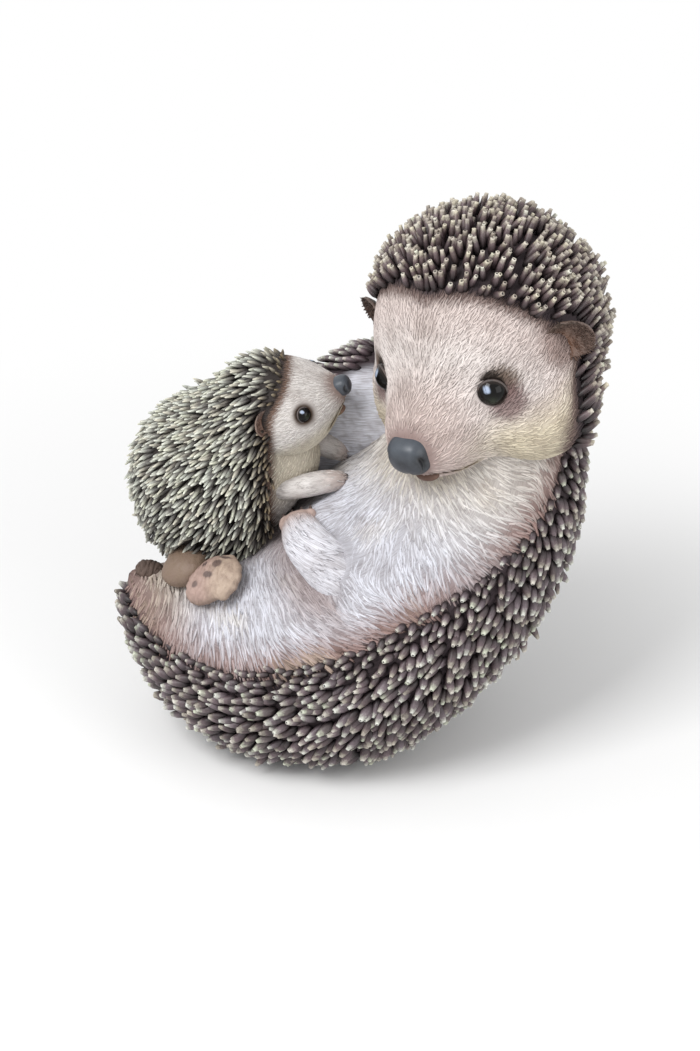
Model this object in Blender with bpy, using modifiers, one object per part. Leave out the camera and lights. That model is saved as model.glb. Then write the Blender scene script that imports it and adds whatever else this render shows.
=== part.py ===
# A mother hedgehog lies on her back and her baby climbs onto her belly.
# It is a painted cast resin garden ornament with inset glass eyes, in metres, +Z up.
# The viewer stands at -Y, and the origin is on the ground under the lowest point of the torso's arc.

import functools
import math

import bmesh
import bpy
import numpy as np
from mathutils import Matrix, Vector

# Clearances and the hollow casting
SEAT_GAP = 0.0003
CASTING_WALL = 0.008
CAVITY_START = 0.30
CAVITY_END = 0.88
BASE_CUT_DEPTH = 0.0038
POUR_HOLE_X = 0.026
POUR_HOLE_RADIUS = 0.008
PLUG_FLANGE_RADIUS = 0.011
PLUG_FLANGE_HEIGHT = 0.002
PLUG_LENGTH = 0.012
PLUG_RECESS = 0.001
PLUG_CHAMFER = 0.0015

# Torso: an arc seen from the front, whose sections are ellipses that roll toward the viewer
TORSO_ARC_RADIUS = 0.097
TORSO_RISE_RADIUS = 0.114
TORSO_RUMP_ANGLE = -42
TORSO_NECK_ANGLE = 95
TORSO_LEAN_ANGLE = 17
TORSO_HALF_WIDTH = 0.0645
TORSO_HALF_DEPTH = 0.054
TORSO_ROLL_AT_RUMP = 17
TORSO_ROLL_AT_NECK = 52
TORSO_RUMP_TAPER = 0.72
TORSO_NECK_TAPER = 0.27
TORSO_INSET = 0.004
INSET_START_SHARE = 0.38
INSET_END_SHARE = 0.88
TORSO_ROWS = 26
TORSO_COLUMNS = 60
POLE_CROWDING = 0.35

# Fur belly: how far round from the middle of the belly the fur goes
FUR_ANGLE_AT_RUMP = 100
FUR_ANGLE_AT_WAIST = 50
FUR_ANGLE_AT_NECK = 110

# Moulded quills of the two coats, and how far they keep off what they would touch
QUILL_HEIGHT = 0.0054
QUILL_LEAN = 0.0045
HEAD_QUILL_LEAN = 0.0016
QUILL_ROOM = 0.0095
QUILL_GROUND_ROOM = 0.005
BABY_QUILL_HEIGHT = 0.0048
BABY_QUILL_LEAN = 0.0034
BABY_QUILL_ROOM = 0.0058

# Mother's head, which sits over the end of the neck
HEAD_OFFSET = Vector((-0.0016, -0.0040, 0.0252))
HEAD_TURN = (-32.7, -22.3, 11)
SKULL_RADII = (0.0480, 0.0470, 0.0465)
FACE_MIDDLE = (0.0, -0.0080, -0.0080)
FACE_RADII = (0.0400, 0.0320, 0.0300)
CHEEK_MIDDLE = (0.0310, -0.0265, -0.0265)
CHEEK_RADII = (0.0235, 0.0195, 0.0190)
BRIDGE_MIDDLE = (0.0, -0.0420, -0.0095)
BRIDGE_RADII = (0.0180, 0.0270, 0.0170)
JAW_MIDDLE = (0.0, -0.0460, -0.0200)
JAW_RADII = (0.0175, 0.0200, 0.0125)
MUZZLE_LENGTH = 0.073
MUZZLE_DROP = 0.0095
SNOUT_RADII = (0.0130, 0.0165, 0.0125)
NOSE_RADIUS = 0.0090
NOSE_PROUD = 0.0030
NOSE_STRETCH = (1.05, 0.85, 1.0)
BROW_ANGLE = 55
SIDE_ANGLE = 76
EYE_RADIUS = 0.0069
EYE_DIRECTION = (0.0270, 0.0400, 0.0008)
EYE_PROUD = 0.0034
EAR_RADIUS = 0.0102
EAR_DIRECTION = (0.051, 0.0085, 0.005)
EAR_PROUD = 0.0028
EAR_THICKNESS = 0.005
HEAD_BLEND = 0.006
HEAD_CELLS = 12
HEAD_CAVITY_CELLS = 6

# Both pairs of ears: how far they face forward, and the dish in each
EAR_TURN = 28
EAR_DISH_SHARE = 0.72
EAR_DISH_SINK = 0.9
EAR_DISH_TURN = 11

# Far shoulder and flank, raised round the baby: the shoulder from the middle of the head, the flank from the shoulder
SHOULDER_OFFSET = Vector((-0.037, 0.018, -0.049))
SHOULDER_LENGTH = 0.040
SHOULDER_RADIUS = 0.025
FLANK_MIDDLE = (-0.030, 0.004, -0.025)
FLANK_RADII = (0.024, 0.019, 0.018)
SHOULDER_BLEND = 0.010
SHOULDER_CELLS = 7
SHOULDER_COAT_EDGE = -0.0075

# Mother's limbs; a place is (share of the torso, degrees round from the belly's middle, height off it)
ARM_RADIUS = 0.0095
ARM_PLACES = ((0.515, 24, -0.010), (0.500, 18, 0.0), (0.480, 11, 0.006), (0.457, 2, 0.009), (0.445, -11, 0.007))
ARM_TAPER = (1.6, 1.35, 1.12, 1.0, 0.6)
FOOT_RADIUS = 0.0125
FOOT_THICKNESS = 0.0075
NEAR_FOOT_PLACE = (0.150, 13, 0.0045)
FAR_FOOT_PLACE = (0.085, -10, 0.0045)
TAIL_RADIUS = 0.0050
TAIL_PLACE = (0.030, 6, 0.0015)

# Baby: a ball of a body with its head raised toward its mother's chin
BABY_SEAT_SHARE = 0.2
BABY_OFFSET = Vector((-0.0145, 0.030, 0.029))
BABY_RADII = (0.0318, 0.0335, 0.0352)
BABY_CHEST_MIDDLE = (0.0202, 0.0, 0.004)
BABY_CHEST_RADII = (0.0228, 0.0241, 0.0268)
BABY_HAUNCH_MIDDLE = (0.0061, -0.002, -0.0184)
BABY_HAUNCH_RADIUS = 0.0228
BABY_BLEND = 0.004
BABY_HEAD_OFFSET = Vector((0.0325, -0.003, 0.036))
BABY_HEAD_TURN = (80, 24, 12)
BABY_SKULL_RADIUS = 0.0225
BABY_FACE_MIDDLE = (0.0, -0.0079, -0.0027)
BABY_FACE_RADII = (0.0203, 0.0191, 0.0169)
BABY_MUZZLE_LENGTH = 0.0325
BABY_MUZZLE_DROP = 0.0015
BABY_SNOUT_RADII = (0.0088, 0.0150, 0.0078)
BABY_NOSE_RADIUS = 0.0046
BABY_HEAD_BLEND = 0.003
BABY_EYE_RADIUS = 0.0036
BABY_EYE_DIRECTION = (0.0170, 0.0170, 0.0030)
BABY_EYE_PROUD = 0.0018
BABY_EAR_RADIUS = 0.0058
BABY_EAR_DIRECTION = (0.0205, 0.0005, 0.0075)
BABY_EAR_PROUD = 0.0002
BABY_EAR_THICKNESS = 0.0028
BABY_ARM_RADIUS = 0.0048
BABY_NEAR_ARM = ((0.022, -0.014, 0.004), (0.040, -0.021, 0.0065), (0.0545, -0.0195, 0.007), (0.0635, -0.0155, 0.006))
BABY_FAR_ARM = ((0.036, 0.000, 0.018), (0.048, 0.002, 0.016), (0.058, 0.003, 0.012), (0.064, 0.004, 0.008))
BABY_ARM_TAPER = (1.0, 0.95, 1.0, 0.5)
BABY_COAT_EDGE = 0.028
BABY_HEAD_COAT_EDGE = -0.006
BABY_CELLS = 10
BABY_HEAD_CELLS = 8

# Paint and glass of each piece: linear colour and roughness
FINISHES = {
    "mother_body": ((0.32, 0.27, 0.25), 0.75),
    "mother_head": ((0.36, 0.29, 0.26), 0.72),
    "mother_left_eye": ((0.010, 0.009, 0.009), 0.05),
    "mother_right_eye": ((0.011, 0.009, 0.008), 0.05),
    "baby": ((0.40, 0.38, 0.29), 0.70),
    "baby_left_eye": ((0.012, 0.009, 0.007), 0.06),
    "baby_right_eye": ((0.013, 0.010, 0.008), 0.06),
    "base_plug": ((0.03, 0.03, 0.03), 0.80),
}


def clear_scene():
    for obj in list(bpy.data.objects):
        bpy.data.objects.remove(obj)


def make_collection(name):
    collection = bpy.data.collections.new(name)
    bpy.context.scene.collection.children.link(collection)
    return collection


def make_material(name, colour, roughness):
    material = bpy.data.materials.new(name)
    material.use_nodes = True
    shader = material.node_tree.nodes["Principled BSDF"]
    shader.inputs["Base Color"].default_value = (*colour, 1.0)
    shader.inputs["Roughness"].default_value = roughness
    shader.inputs["Metallic"].default_value = 0.0
    return material


def link_mesh(name, bm, collection):
    """Turns a bmesh into an object; a piece of the ornament also gets its own finish."""
    bmesh.ops.recalc_face_normals(bm, faces=bm.faces)
    mesh = bpy.data.meshes.new(name)
    bm.to_mesh(mesh)
    bm.free()
    if name in FINISHES:
        mesh.materials.append(make_material(name + "_finish", *FINISHES[name]))
    mesh.shade_smooth()
    obj = bpy.data.objects.new(name, mesh)
    collection.objects.link(obj)
    return obj


def join(obj, tool, operation):
    """A Boolean that stays on the object; its tool is hidden from the render."""
    tool.hide_render = True
    tool.display_type = "WIRE"
    modifier = obj.modifiers.new(tool.name, "BOOLEAN")
    modifier.operation = operation
    modifier.solver = "EXACT"
    modifier.object = tool


# The torso's centre line is an arc about an axis that leans back from the viewer.
# A torso place is (share of the arc from rump to neck, angle from the belly's middle, height off the skin).


def torso_radii(share):
    taper = TORSO_RUMP_TAPER + (TORSO_NECK_TAPER - TORSO_RUMP_TAPER) * share
    swell = np.sin(np.pi * share) ** taper
    return TORSO_HALF_WIDTH * swell, TORSO_HALF_DEPTH * swell


def torso_section(share):
    """The centre from the arc's lowest point, the direction to the near side and the one out of the belly."""
    share = np.asarray(share, float)[..., None]
    turn = np.radians(TORSO_RUMP_ANGLE + (TORSO_NECK_ANGLE - TORSO_RUMP_ANGLE) * share)
    lean = math.radians(TORSO_LEAN_ANGLE)
    across = np.array((1.0, 0.0, 0.0))
    upward = np.array((0.0, math.sin(lean), math.cos(lean)))
    aside = np.array((0.0, math.cos(lean), -math.sin(lean)))
    rise = TORSO_RISE_RADIUS * (1 - np.cos(turn))
    inward = np.cos(turn) * upward - np.sin(turn) * across
    drawn = np.clip((share - INSET_START_SHARE) / (INSET_END_SHARE - INSET_START_SHARE), 0, 1)
    inset = TORSO_INSET * np.sin(np.pi * drawn) ** 2
    centre = TORSO_ARC_RADIUS * np.sin(turn) * across + rise * upward + inset * inward
    roll = np.radians(TORSO_ROLL_AT_RUMP + (TORSO_ROLL_AT_NECK - TORSO_ROLL_AT_RUMP) * share)
    near = -np.cos(roll) * aside - np.sin(roll) * inward
    out = np.cos(roll) * inward - np.sin(roll) * aside
    return centre, near, out


@functools.cache
def torso_base_height():
    """How high the arc's lowest point stands, so that the flat base cuts the skin to its depth."""
    share = np.linspace(0.005, 0.995, 199)
    centre, near, out = torso_section(share)
    half_width, half_depth = torso_radii(share)
    reach = np.hypot(half_width * near[:, 2], half_depth * out[:, 2])
    return -float((centre[:, 2] - reach).min()) - BASE_CUT_DEPTH


def torso_frame(share):
    centre, near, out = torso_section(share)
    return centre + np.array((0.0, 0.0, torso_base_height())), near, out


def torso_point(share, angle, grow=0.0):
    """Points of the torso's skin, moved outward by grow; the angle runs toward the near side."""
    share, angle = np.broadcast_arrays(np.asarray(share, float), np.asarray(angle, float))
    centre, near, out = torso_frame(share)
    half_width, half_depth = torso_radii(share)
    side = (half_width + grow) * np.sin(angle)
    front = (half_depth + grow) * np.cos(angle)
    ahead = -grow * np.cos(np.pi * share)
    return centre + side[..., None] * near + front[..., None] * out + ahead[..., None] * np.cross(out, near)


def torso_pole(end, grow):
    centre, near, out = torso_frame(end)
    return centre - grow * math.cos(math.pi * end) * np.cross(out, near)


def torso_place(place):
    share, degrees, lift = place
    return Vector(torso_point(share, math.radians(degrees), lift))


def torso_clearance(point):
    """About how far a point stands off the torso's skin, less than nothing inside."""
    share = np.linspace(0.01, 0.99, 99)
    centre, near, out = torso_frame(share)
    offset = np.array(point) - centre
    level = np.abs(np.sum(offset * np.cross(out, near), axis=-1)).argmin()
    half_width, half_depth = torso_radii(share[level])
    side = offset[level] @ near[level] / half_width
    front = offset[level] @ out[level] / half_depth
    return (math.hypot(side, front) - 1) * half_depth


def fur_angle(share):
    toward_rump = (FUR_ANGLE_AT_RUMP - FUR_ANGLE_AT_WAIST) * np.clip(1 - 2 * share, 0, 1) ** 2
    toward_neck = (FUR_ANGLE_AT_NECK - FUR_ANGLE_AT_WAIST) * np.clip(2 * share - 1, 0, 1) ** 2
    return np.radians(FUR_ANGLE_AT_WAIST + toward_rump + toward_neck)


def torso_shares(rows):
    """Rows of the loft, closer together toward both poles."""
    steps = np.arange(1, rows) / rows
    return POLE_CROWDING * (1 - np.cos(np.pi * steps)) / 2 + (1 - POLE_CROWDING) * steps


def torso_mesh(rows, columns, grow, ends=(0.0, 1.0)):
    """A loft of the sections from the rump's pole to the neck's pole."""
    share = ends[0] + (ends[1] - ends[0]) * torso_shares(rows)
    turn = 2 * np.pi * np.arange(columns) / columns
    points = torso_point(share[:, None], turn[None, :], grow)
    bm = bmesh.new()
    rings = [[bm.verts.new(point) for point in ring] for ring in points]
    for ring, following in zip(rings[:-1], rings[1:]):
        for column in range(columns):
            after = (column + 1) % columns
            bm.faces.new((ring[column], ring[after], following[after], following[column]))
    for end, ring in zip(ends, (rings[0], rings[-1])):
        pole = bm.verts.new(torso_pole(end, grow))
        for column in range(columns):
            bm.faces.new((ring[column], ring[(column + 1) % columns], pole))
    bmesh.ops.recalc_face_normals(bm, faces=bm.faces)
    return bm


# A form is a list of (middle, radii) ellipsoids, blended into one skin about its first middle.


def form_distance(points, form, blend):
    total = 0.0
    for middle, radii in form:
        scaled = np.linalg.norm((points - np.array(middle)) / np.array(radii), axis=-1)
        total = total + np.exp(-(scaled - 1) * min(radii) / blend)
    return -np.log(total) * blend


def form_reach(directions, form, blend, farthest=0.15, halvings=28):
    """How far the blended skin is from the origin along each direction, by halving."""
    near = np.zeros(len(directions))
    far = np.full(len(directions), farthest)
    for _ in range(halvings):
        half = (near + far) / 2
        inside = form_distance(directions * half[:, None], form, blend) < 0
        near = np.where(inside, half, near)
        far = np.where(inside, far, half)
    return near


def on_form(direction, side, form, blend, proud):
    """A shift from the form's middle to a point that stands off its skin, on the left (1) or right (-1)."""
    spread, forward, rise = direction
    towards = Vector((side * spread, -forward, rise)).normalized()
    reach = form_reach(np.array([towards[:]]), form, blend)[0]
    return Matrix.Translation(towards * (reach + proud))


def cell_sphere(cells):
    """A sphere of square cells, made from a divided cube; every other cell may carry a quill."""
    bm = bmesh.new()
    bmesh.ops.create_cube(bm, size=2.0)
    bmesh.ops.subdivide_edges(bm, edges=bm.edges, cuts=cells - 1, use_grid_fill=True)
    quilled = bm.faces.layers.int.new("quilled")
    for face in bm.faces:
        steps = [round((value + 1) * cells / 2 - 0.5) for value in face.calc_center_median()]
        face[quilled] = sum(steps) % 2
    for vertex in bm.verts:
        spread = [math.tan(value * math.pi / 4) for value in vertex.co]
        vertex.co = Vector(spread).normalized()
    return bm


def form_mesh(form, blend, cells, place):
    """The form's skin as a closed mesh, moved to its place (a 4x4 matrix)."""
    bm = cell_sphere(cells)
    directions = np.array([vertex.co[:] for vertex in bm.verts])
    reach = form_reach(directions, form, blend)
    for vertex, direction, length in zip(bm.verts, directions, reach):
        vertex.co = place @ Vector(direction * length)
    bm.normal_update()
    return bm


def sphere_mesh(radius, segments, rings, place, stretch=(1.0, 1.0, 1.0)):
    bm = bmesh.new()
    bmesh.ops.create_uvsphere(bm, u_segments=segments, v_segments=rings, radius=radius)
    bmesh.ops.scale(bm, vec=stretch, verts=bm.verts)
    bmesh.ops.transform(bm, matrix=place, verts=bm.verts)
    return bm


def cylinder_mesh(radius, bottom, top, segments=24):
    bm = bmesh.new()
    bmesh.ops.create_cone(bm, cap_ends=True, segments=segments, radius1=radius, radius2=radius, depth=top - bottom)
    bmesh.ops.translate(bm, vec=(0.0, 0.0, (top + bottom) / 2), verts=bm.verts)
    return bm


def turned(turn):
    """Axes of a head: X is its left, -Y its face and Z its crown, turned by yaw, pitch and roll."""
    yaw, pitch, roll = (math.radians(value) for value in turn)
    return Matrix.Rotation(yaw, 4, "Z") @ Matrix.Rotation(-pitch, 4, "X") @ Matrix.Rotation(-roll, 4, "Y")


def head_place():
    return Vector(torso_frame(1.0)[0]) + HEAD_OFFSET


def head_matrix():
    return Matrix.Translation(head_place()) @ turned(HEAD_TURN)


def head_form():
    snout = (0.0, -(MUZZLE_LENGTH - NOSE_PROUD - SNOUT_RADII[1]), -MUZZLE_DROP)
    spread, forward, rise = CHEEK_MIDDLE
    return [
        ((0.0, 0.0, 0.0), SKULL_RADII),
        (FACE_MIDDLE, FACE_RADII),
        ((spread, forward, rise), CHEEK_RADII),
        ((-spread, forward, rise), CHEEK_RADII),
        (BRIDGE_MIDDLE, BRIDGE_RADII),
        (JAW_MIDDLE, JAW_RADII),
        (snout, SNOUT_RADII),
    ]


def head_ear(side):
    return head_matrix() @ on_form(EAR_DIRECTION, side, head_form(), HEAD_BLEND, EAR_PROUD)


def head_clearance(middle):
    """About how far a point stands off the mother's head without its quills."""
    return form_distance(np.array(head_matrix().inverted() @ middle), head_form(), HEAD_BLEND)


def shoulder_place():
    return np.array(head_place() + SHOULDER_OFFSET)


def shoulder_form(grow=0.0):
    return [
        ((0.0, 0.0, 0.0), (SHOULDER_LENGTH + grow, SHOULDER_RADIUS + grow, SHOULDER_RADIUS + grow)),
        (FLANK_MIDDLE, [radius + grow for radius in FLANK_RADII]),
    ]


def shoulder_clearance(middle):
    return form_distance(np.array(middle) - shoulder_place(), shoulder_form(), SHOULDER_BLEND)


def baby_place():
    """The middle of the baby's body, above its seat on the belly."""
    return Vector(torso_point(BABY_SEAT_SHARE, 0.0)) + BABY_OFFSET


def baby_head_matrix():
    return Matrix.Translation(baby_place() + BABY_HEAD_OFFSET) @ turned(BABY_HEAD_TURN)


def baby_ear(side):
    ear = on_form(BABY_EAR_DIRECTION, side, baby_head_form(), BABY_HEAD_BLEND, BABY_EAR_PROUD)
    return baby_head_matrix() @ ear


def baby_form():
    haunch = (BABY_HAUNCH_RADIUS, BABY_HAUNCH_RADIUS, BABY_HAUNCH_RADIUS)
    return [
        ((0.0, 0.0, 0.0), BABY_RADII),
        (BABY_CHEST_MIDDLE, BABY_CHEST_RADII),
        (BABY_HAUNCH_MIDDLE, haunch),
    ]


def baby_head_form():
    snout = (0.0, -(BABY_MUZZLE_LENGTH - BABY_SNOUT_RADII[1]), -BABY_MUZZLE_DROP)
    return [
        ((0.0, 0.0, 0.0), (BABY_SKULL_RADIUS, BABY_SKULL_RADIUS, BABY_SKULL_RADIUS)),
        (BABY_FACE_MIDDLE, BABY_FACE_RADII),
        (snout, BABY_SNOUT_RADII),
    ]


# Quills: a face of a skin is poked into a four-sided spike whose tip stands off and leans.


def raise_quills(bm, faces, height, leans):
    tips = [face.calc_center_median() + height * face.normal for face in faces]
    found = bmesh.ops.poke(bm, faces=faces)
    for vertex, tip, lean in zip(found["verts"], tips, leans):
        vertex.co = tip + lean


def raise_torso_quills(bm):
    """Every other cell outside the fur rises into a quill that leans toward the rump."""
    share = torso_shares(TORSO_ROWS)
    bm.normal_update()
    bm.faces.ensure_lookup_table()
    faces = []
    leans = []
    for row in range(TORSO_ROWS - 2):
        ahead = torso_frame(share[row + 1])[0] - torso_frame(share[row])[0]
        for column in range(row % 2, TORSO_COLUMNS, 2):
            around = 2 * math.pi * (column + 0.5) / TORSO_COLUMNS
            around = min(around, 2 * math.pi - around)
            face = bm.faces[row * TORSO_COLUMNS + column]
            if around > fur_angle(share[row]) and torso_coat_is_open(face.calc_center_median()):
                faces.append(face)
                leans.append(-QUILL_LEAN * Vector(ahead).normalized())
    raise_quills(bm, faces, QUILL_HEIGHT, leans)


def torso_coat_is_open(middle):
    """Quills stay off the ground, out of the head's seat and out from under the baby."""
    off_ground = middle.z > QUILL_GROUND_ROOM
    off_head = head_clearance(middle) > QUILL_ROOM
    off_baby = (middle - baby_place()).length > max(BABY_RADII) + QUILL_ROOM
    return off_ground and off_head and off_baby and shoulder_clearance(middle) > 0


def raise_shoulder_quills(bm):
    """The shoulder's coat is behind its ridge and leans away from the head."""
    quilled = bm.faces.layers.int["quilled"]
    baby_head = baby_head_matrix().translation
    faces = []
    for face in bm.faces:
        middle = face.calc_center_median()
        off_baby = (middle - baby_head).length > BABY_SKULL_RADIUS + QUILL_ROOM
        off_head = head_clearance(middle) > QUILL_ROOM + QUILL_LEAN
        off_body = form_distance(np.array(middle - baby_place()), baby_form(), BABY_BLEND) > QUILL_ROOM
        behind = middle.y > shoulder_place()[1] + SHOULDER_COAT_EDGE
        if face[quilled] and off_baby and off_body and off_head and behind:
            faces.append(face)
    raise_quills(bm, faces, QUILL_HEIGHT, [Vector((-QUILL_LEAN, 0.0, 0.0))] * len(faces))


def raise_head_quills(bm):
    """The cap: every other cell behind the brow and off the ears rises, leaning a little back."""
    place = head_matrix()
    inverse = place.inverted()
    back = place.to_3x3() @ Vector((0.0, HEAD_QUILL_LEAN, 0.0))
    quilled = bm.faces.layers.int["quilled"]
    ears = [head_ear(side).translation for side in (1, -1)]
    faces = []
    for face in bm.faces:
        middle = face.calc_center_median()
        local = inverse @ middle
        around = math.atan2(abs(local.x), local.z)
        edge = math.radians(BROW_ANGLE + (SIDE_ANGLE - BROW_ANGLE) * min(around / (math.pi / 2), 1.0))
        off_neck = torso_clearance(middle) > QUILL_ROOM and shoulder_clearance(middle) > QUILL_ROOM
        off_ears = all((middle - ear).length > EAR_RADIUS + QUILL_HEIGHT for ear in ears)
        if local.angle(Vector((0.0, -1.0, 0.0))) > edge and face[quilled] and off_neck and off_ears:
            faces.append(face)
    raise_quills(bm, faces, QUILL_HEIGHT, [back] * len(faces))


def baby_coat_is_open(middle):
    """The baby's quills stay off its arms and ears, and off its mother's belly, shoulder and feet."""
    feet = [torso_place(place) for place in (NEAR_FOOT_PLACE, FAR_FOOT_PLACE)]
    off_feet = all((middle - foot).length > FOOT_RADIUS + QUILL_ROOM for foot in feet)
    off_shoulder = shoulder_clearance(middle) > BABY_QUILL_ROOM
    ears = [baby_ear(side).translation for side in (1, -1)]
    off_ears = all((middle - ear).length > BABY_EAR_RADIUS + BABY_QUILL_LEAN for ear in ears)
    joints = [baby_place() + Vector(place) for place in BABY_NEAR_ARM + BABY_FAR_ARM]
    off_arms = all((middle - joint).length > BABY_ARM_RADIUS + BABY_QUILL_ROOM for joint in joints)
    return torso_clearance(middle) > BABY_QUILL_ROOM and off_feet and off_shoulder and off_ears and off_arms


def raise_baby_quills(bm):
    """The coat covers the baby's body behind its fur edge, and leans back and down."""
    head = baby_head_matrix().translation
    quilled = bm.faces.layers.int["quilled"]
    lean = Vector((-BABY_QUILL_LEAN, 0.0, -BABY_QUILL_LEAN / 2))
    faces = []
    for face in bm.faces:
        middle = face.calc_center_median()
        off_head = (middle - head).length > BABY_SKULL_RADIUS + BABY_QUILL_HEIGHT / 2
        behind = middle.x < baby_place().x + BABY_COAT_EDGE
        if behind and face[quilled] and off_head and baby_coat_is_open(middle):
            faces.append(face)
    raise_quills(bm, faces, BABY_QUILL_HEIGHT, [lean] * len(faces))


def raise_baby_head_quills(bm):
    """The hood covers the back of the baby's head and leans back."""
    inverse = baby_head_matrix().inverted()
    quilled = bm.faces.layers.int["quilled"]
    lean = Vector((-BABY_QUILL_LEAN, 0.0, 0.0))
    faces = []
    for face in bm.faces:
        middle = face.calc_center_median()
        off_body = form_distance(np.array(middle - baby_place()), baby_form(), BABY_BLEND) > 0
        behind = (inverse @ middle).y > BABY_HEAD_COAT_EDGE
        if behind and face[quilled] and off_body and baby_coat_is_open(middle):
            faces.append(face)
    raise_quills(bm, faces, BABY_QUILL_HEIGHT, [lean] * len(faces))


def limb_object(name, points, radii, collection):
    """A tapering limb: a smooth curve with a radius at each point, made a closed mesh."""
    curve = bpy.data.curves.new(name, "CURVE")
    curve.dimensions = "3D"
    curve.bevel_depth = 1.0
    curve.bevel_resolution = 2
    curve.resolution_u = 3
    curve.use_fill_caps = True
    spline = curve.splines.new("NURBS")
    spline.points.add(len(points) - 1)
    for place, point, radius in zip(spline.points, points, radii):
        place.co = (*point, 1.0)
        place.radius = radius
    spline.use_endpoint_u = True
    spline.order_u = 3
    guide = bpy.data.objects.new(name + "_line", curve)
    collection.objects.link(guide)
    graph = bpy.context.evaluated_depsgraph_get()
    mesh = bpy.data.meshes.new_from_object(guide.evaluated_get(graph))
    bpy.data.objects.remove(guide)
    bm = bmesh.new()
    bm.from_mesh(mesh)
    bmesh.ops.remove_doubles(bm, verts=bm.verts, dist=0.00001)
    return link_mesh(name, bm, collection)


def foot_mesh(place, grow=0.0):
    """A flat round foot, whose sole faces out of the belly."""
    share, degrees, lift = place
    middle = torso_place(place)
    out = torso_place((share, degrees, lift + FOOT_THICKNESS)) - middle
    turn = out.to_track_quat("Z", "Y").to_matrix().to_4x4()
    stretch = (1.0, 1.0, (FOOT_THICKNESS + grow) / (FOOT_RADIUS + grow))
    return sphere_mesh(FOOT_RADIUS + grow, 14, 8, Matrix.Translation(middle) @ turn, stretch)


def set_eye(owner, name, place, radius, kit):
    """A glass ball in a socket that is larger by the seat's gap."""
    socket = link_mesh(name + "_socket", sphere_mesh(radius + SEAT_GAP, 14, 8, place), kit["tools"])
    join(owner, socket, "DIFFERENCE")
    link_mesh(name, sphere_mesh(radius, 14, 8, place), kit["parts"])


def add_ear(owner, name, place, side, radius, thickness, kit):
    """A dished ear that stands out from the side of a head."""
    facing = Matrix.Rotation(math.radians(side * EAR_TURN), 4, "Z") @ Matrix.Rotation(math.radians(90), 4, "X")
    stretch = (1.0, 1.0, thickness / radius)
    ear = sphere_mesh(radius, 14, 8, place @ facing, stretch)
    dish = Matrix.Rotation(math.radians(EAR_DISH_TURN), 4, "Z")
    dish.translation.z = thickness * EAR_DISH_SINK
    hollow = sphere_mesh(radius * EAR_DISH_SHARE, 10, 6, place @ facing @ dish, stretch)
    join(owner, link_mesh(name, ear, kit["tools"]), "UNION")
    join(owner, link_mesh(name + "_dish", hollow, kit["tools"]), "DIFFERENCE")


def make_body_seat(kit):
    """The body's skin without quills, grown by the seat's gap: the head and the baby are cut to it."""
    tools = kit["tools"]
    seat = link_mesh("body_seat", torso_mesh(TORSO_ROWS, TORSO_COLUMNS, SEAT_GAP), tools)
    place = Matrix.Translation(shoulder_place())
    shoulder = form_mesh(shoulder_form(SEAT_GAP), SHOULDER_BLEND, SHOULDER_CELLS, place)
    join(seat, link_mesh("shoulder_seat", shoulder, tools), "UNION")
    join(seat, link_mesh("near_foot_seat", foot_mesh(NEAR_FOOT_PLACE, SEAT_GAP), tools), "UNION")
    join(seat, link_mesh("far_foot_seat", foot_mesh(FAR_FOOT_PLACE, SEAT_GAP), tools), "UNION")
    return seat


def build_body(kit):
    tools = kit["tools"]
    torso = torso_mesh(TORSO_ROWS, TORSO_COLUMNS, 0.0)
    raise_torso_quills(torso)
    body = link_mesh("mother_body", torso, kit["parts"])
    place = Matrix.Translation(shoulder_place())
    shoulder = form_mesh(shoulder_form(), SHOULDER_BLEND, SHOULDER_CELLS, place)
    raise_shoulder_quills(shoulder)
    join(body, link_mesh("shoulder", shoulder, tools), "UNION")
    points = [torso_place(place) for place in ARM_PLACES]
    radii = [ARM_RADIUS * share for share in ARM_TAPER]
    join(body, limb_object("forearm", points, radii, tools), "UNION")
    join(body, link_mesh("near_foot", foot_mesh(NEAR_FOOT_PLACE), tools), "UNION")
    join(body, link_mesh("far_foot", foot_mesh(FAR_FOOT_PLACE), tools), "UNION")
    tail = Matrix.Translation(torso_place(TAIL_PLACE))
    join(body, link_mesh("tail", sphere_mesh(TAIL_RADIUS, 12, 8, tail), tools), "UNION")
    hollow_body(body, kit)


def hollow_body(body, kit):
    """The cavity, the flat base and the stepped pour hole, which runs up into the cavity."""
    tools = kit["tools"]
    cavity = torso_mesh(12, 20, -CASTING_WALL, (CAVITY_START, CAVITY_END))
    join(body, link_mesh("cavity", cavity, tools), "DIFFERENCE")
    below = bmesh.new()
    bmesh.ops.create_cube(below, size=1.0)
    bmesh.ops.translate(below, vec=(0.0, 0.0, -0.5), verts=below.verts)
    join(body, link_mesh("ground", below, tools), "DIFFERENCE")
    hole = cylinder_mesh(POUR_HOLE_RADIUS, -CASTING_WALL, torso_base_height())
    seat = cylinder_mesh(PLUG_FLANGE_RADIUS, -CASTING_WALL, PLUG_RECESS + PLUG_FLANGE_HEIGHT)
    for name, cutter in (("pour_hole", hole), ("plug_seat", seat)):
        bmesh.ops.translate(cutter, vec=(POUR_HOLE_X, 0.0, 0.0), verts=cutter.verts)
        join(body, link_mesh(name, cutter, tools), "DIFFERENCE")


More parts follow.
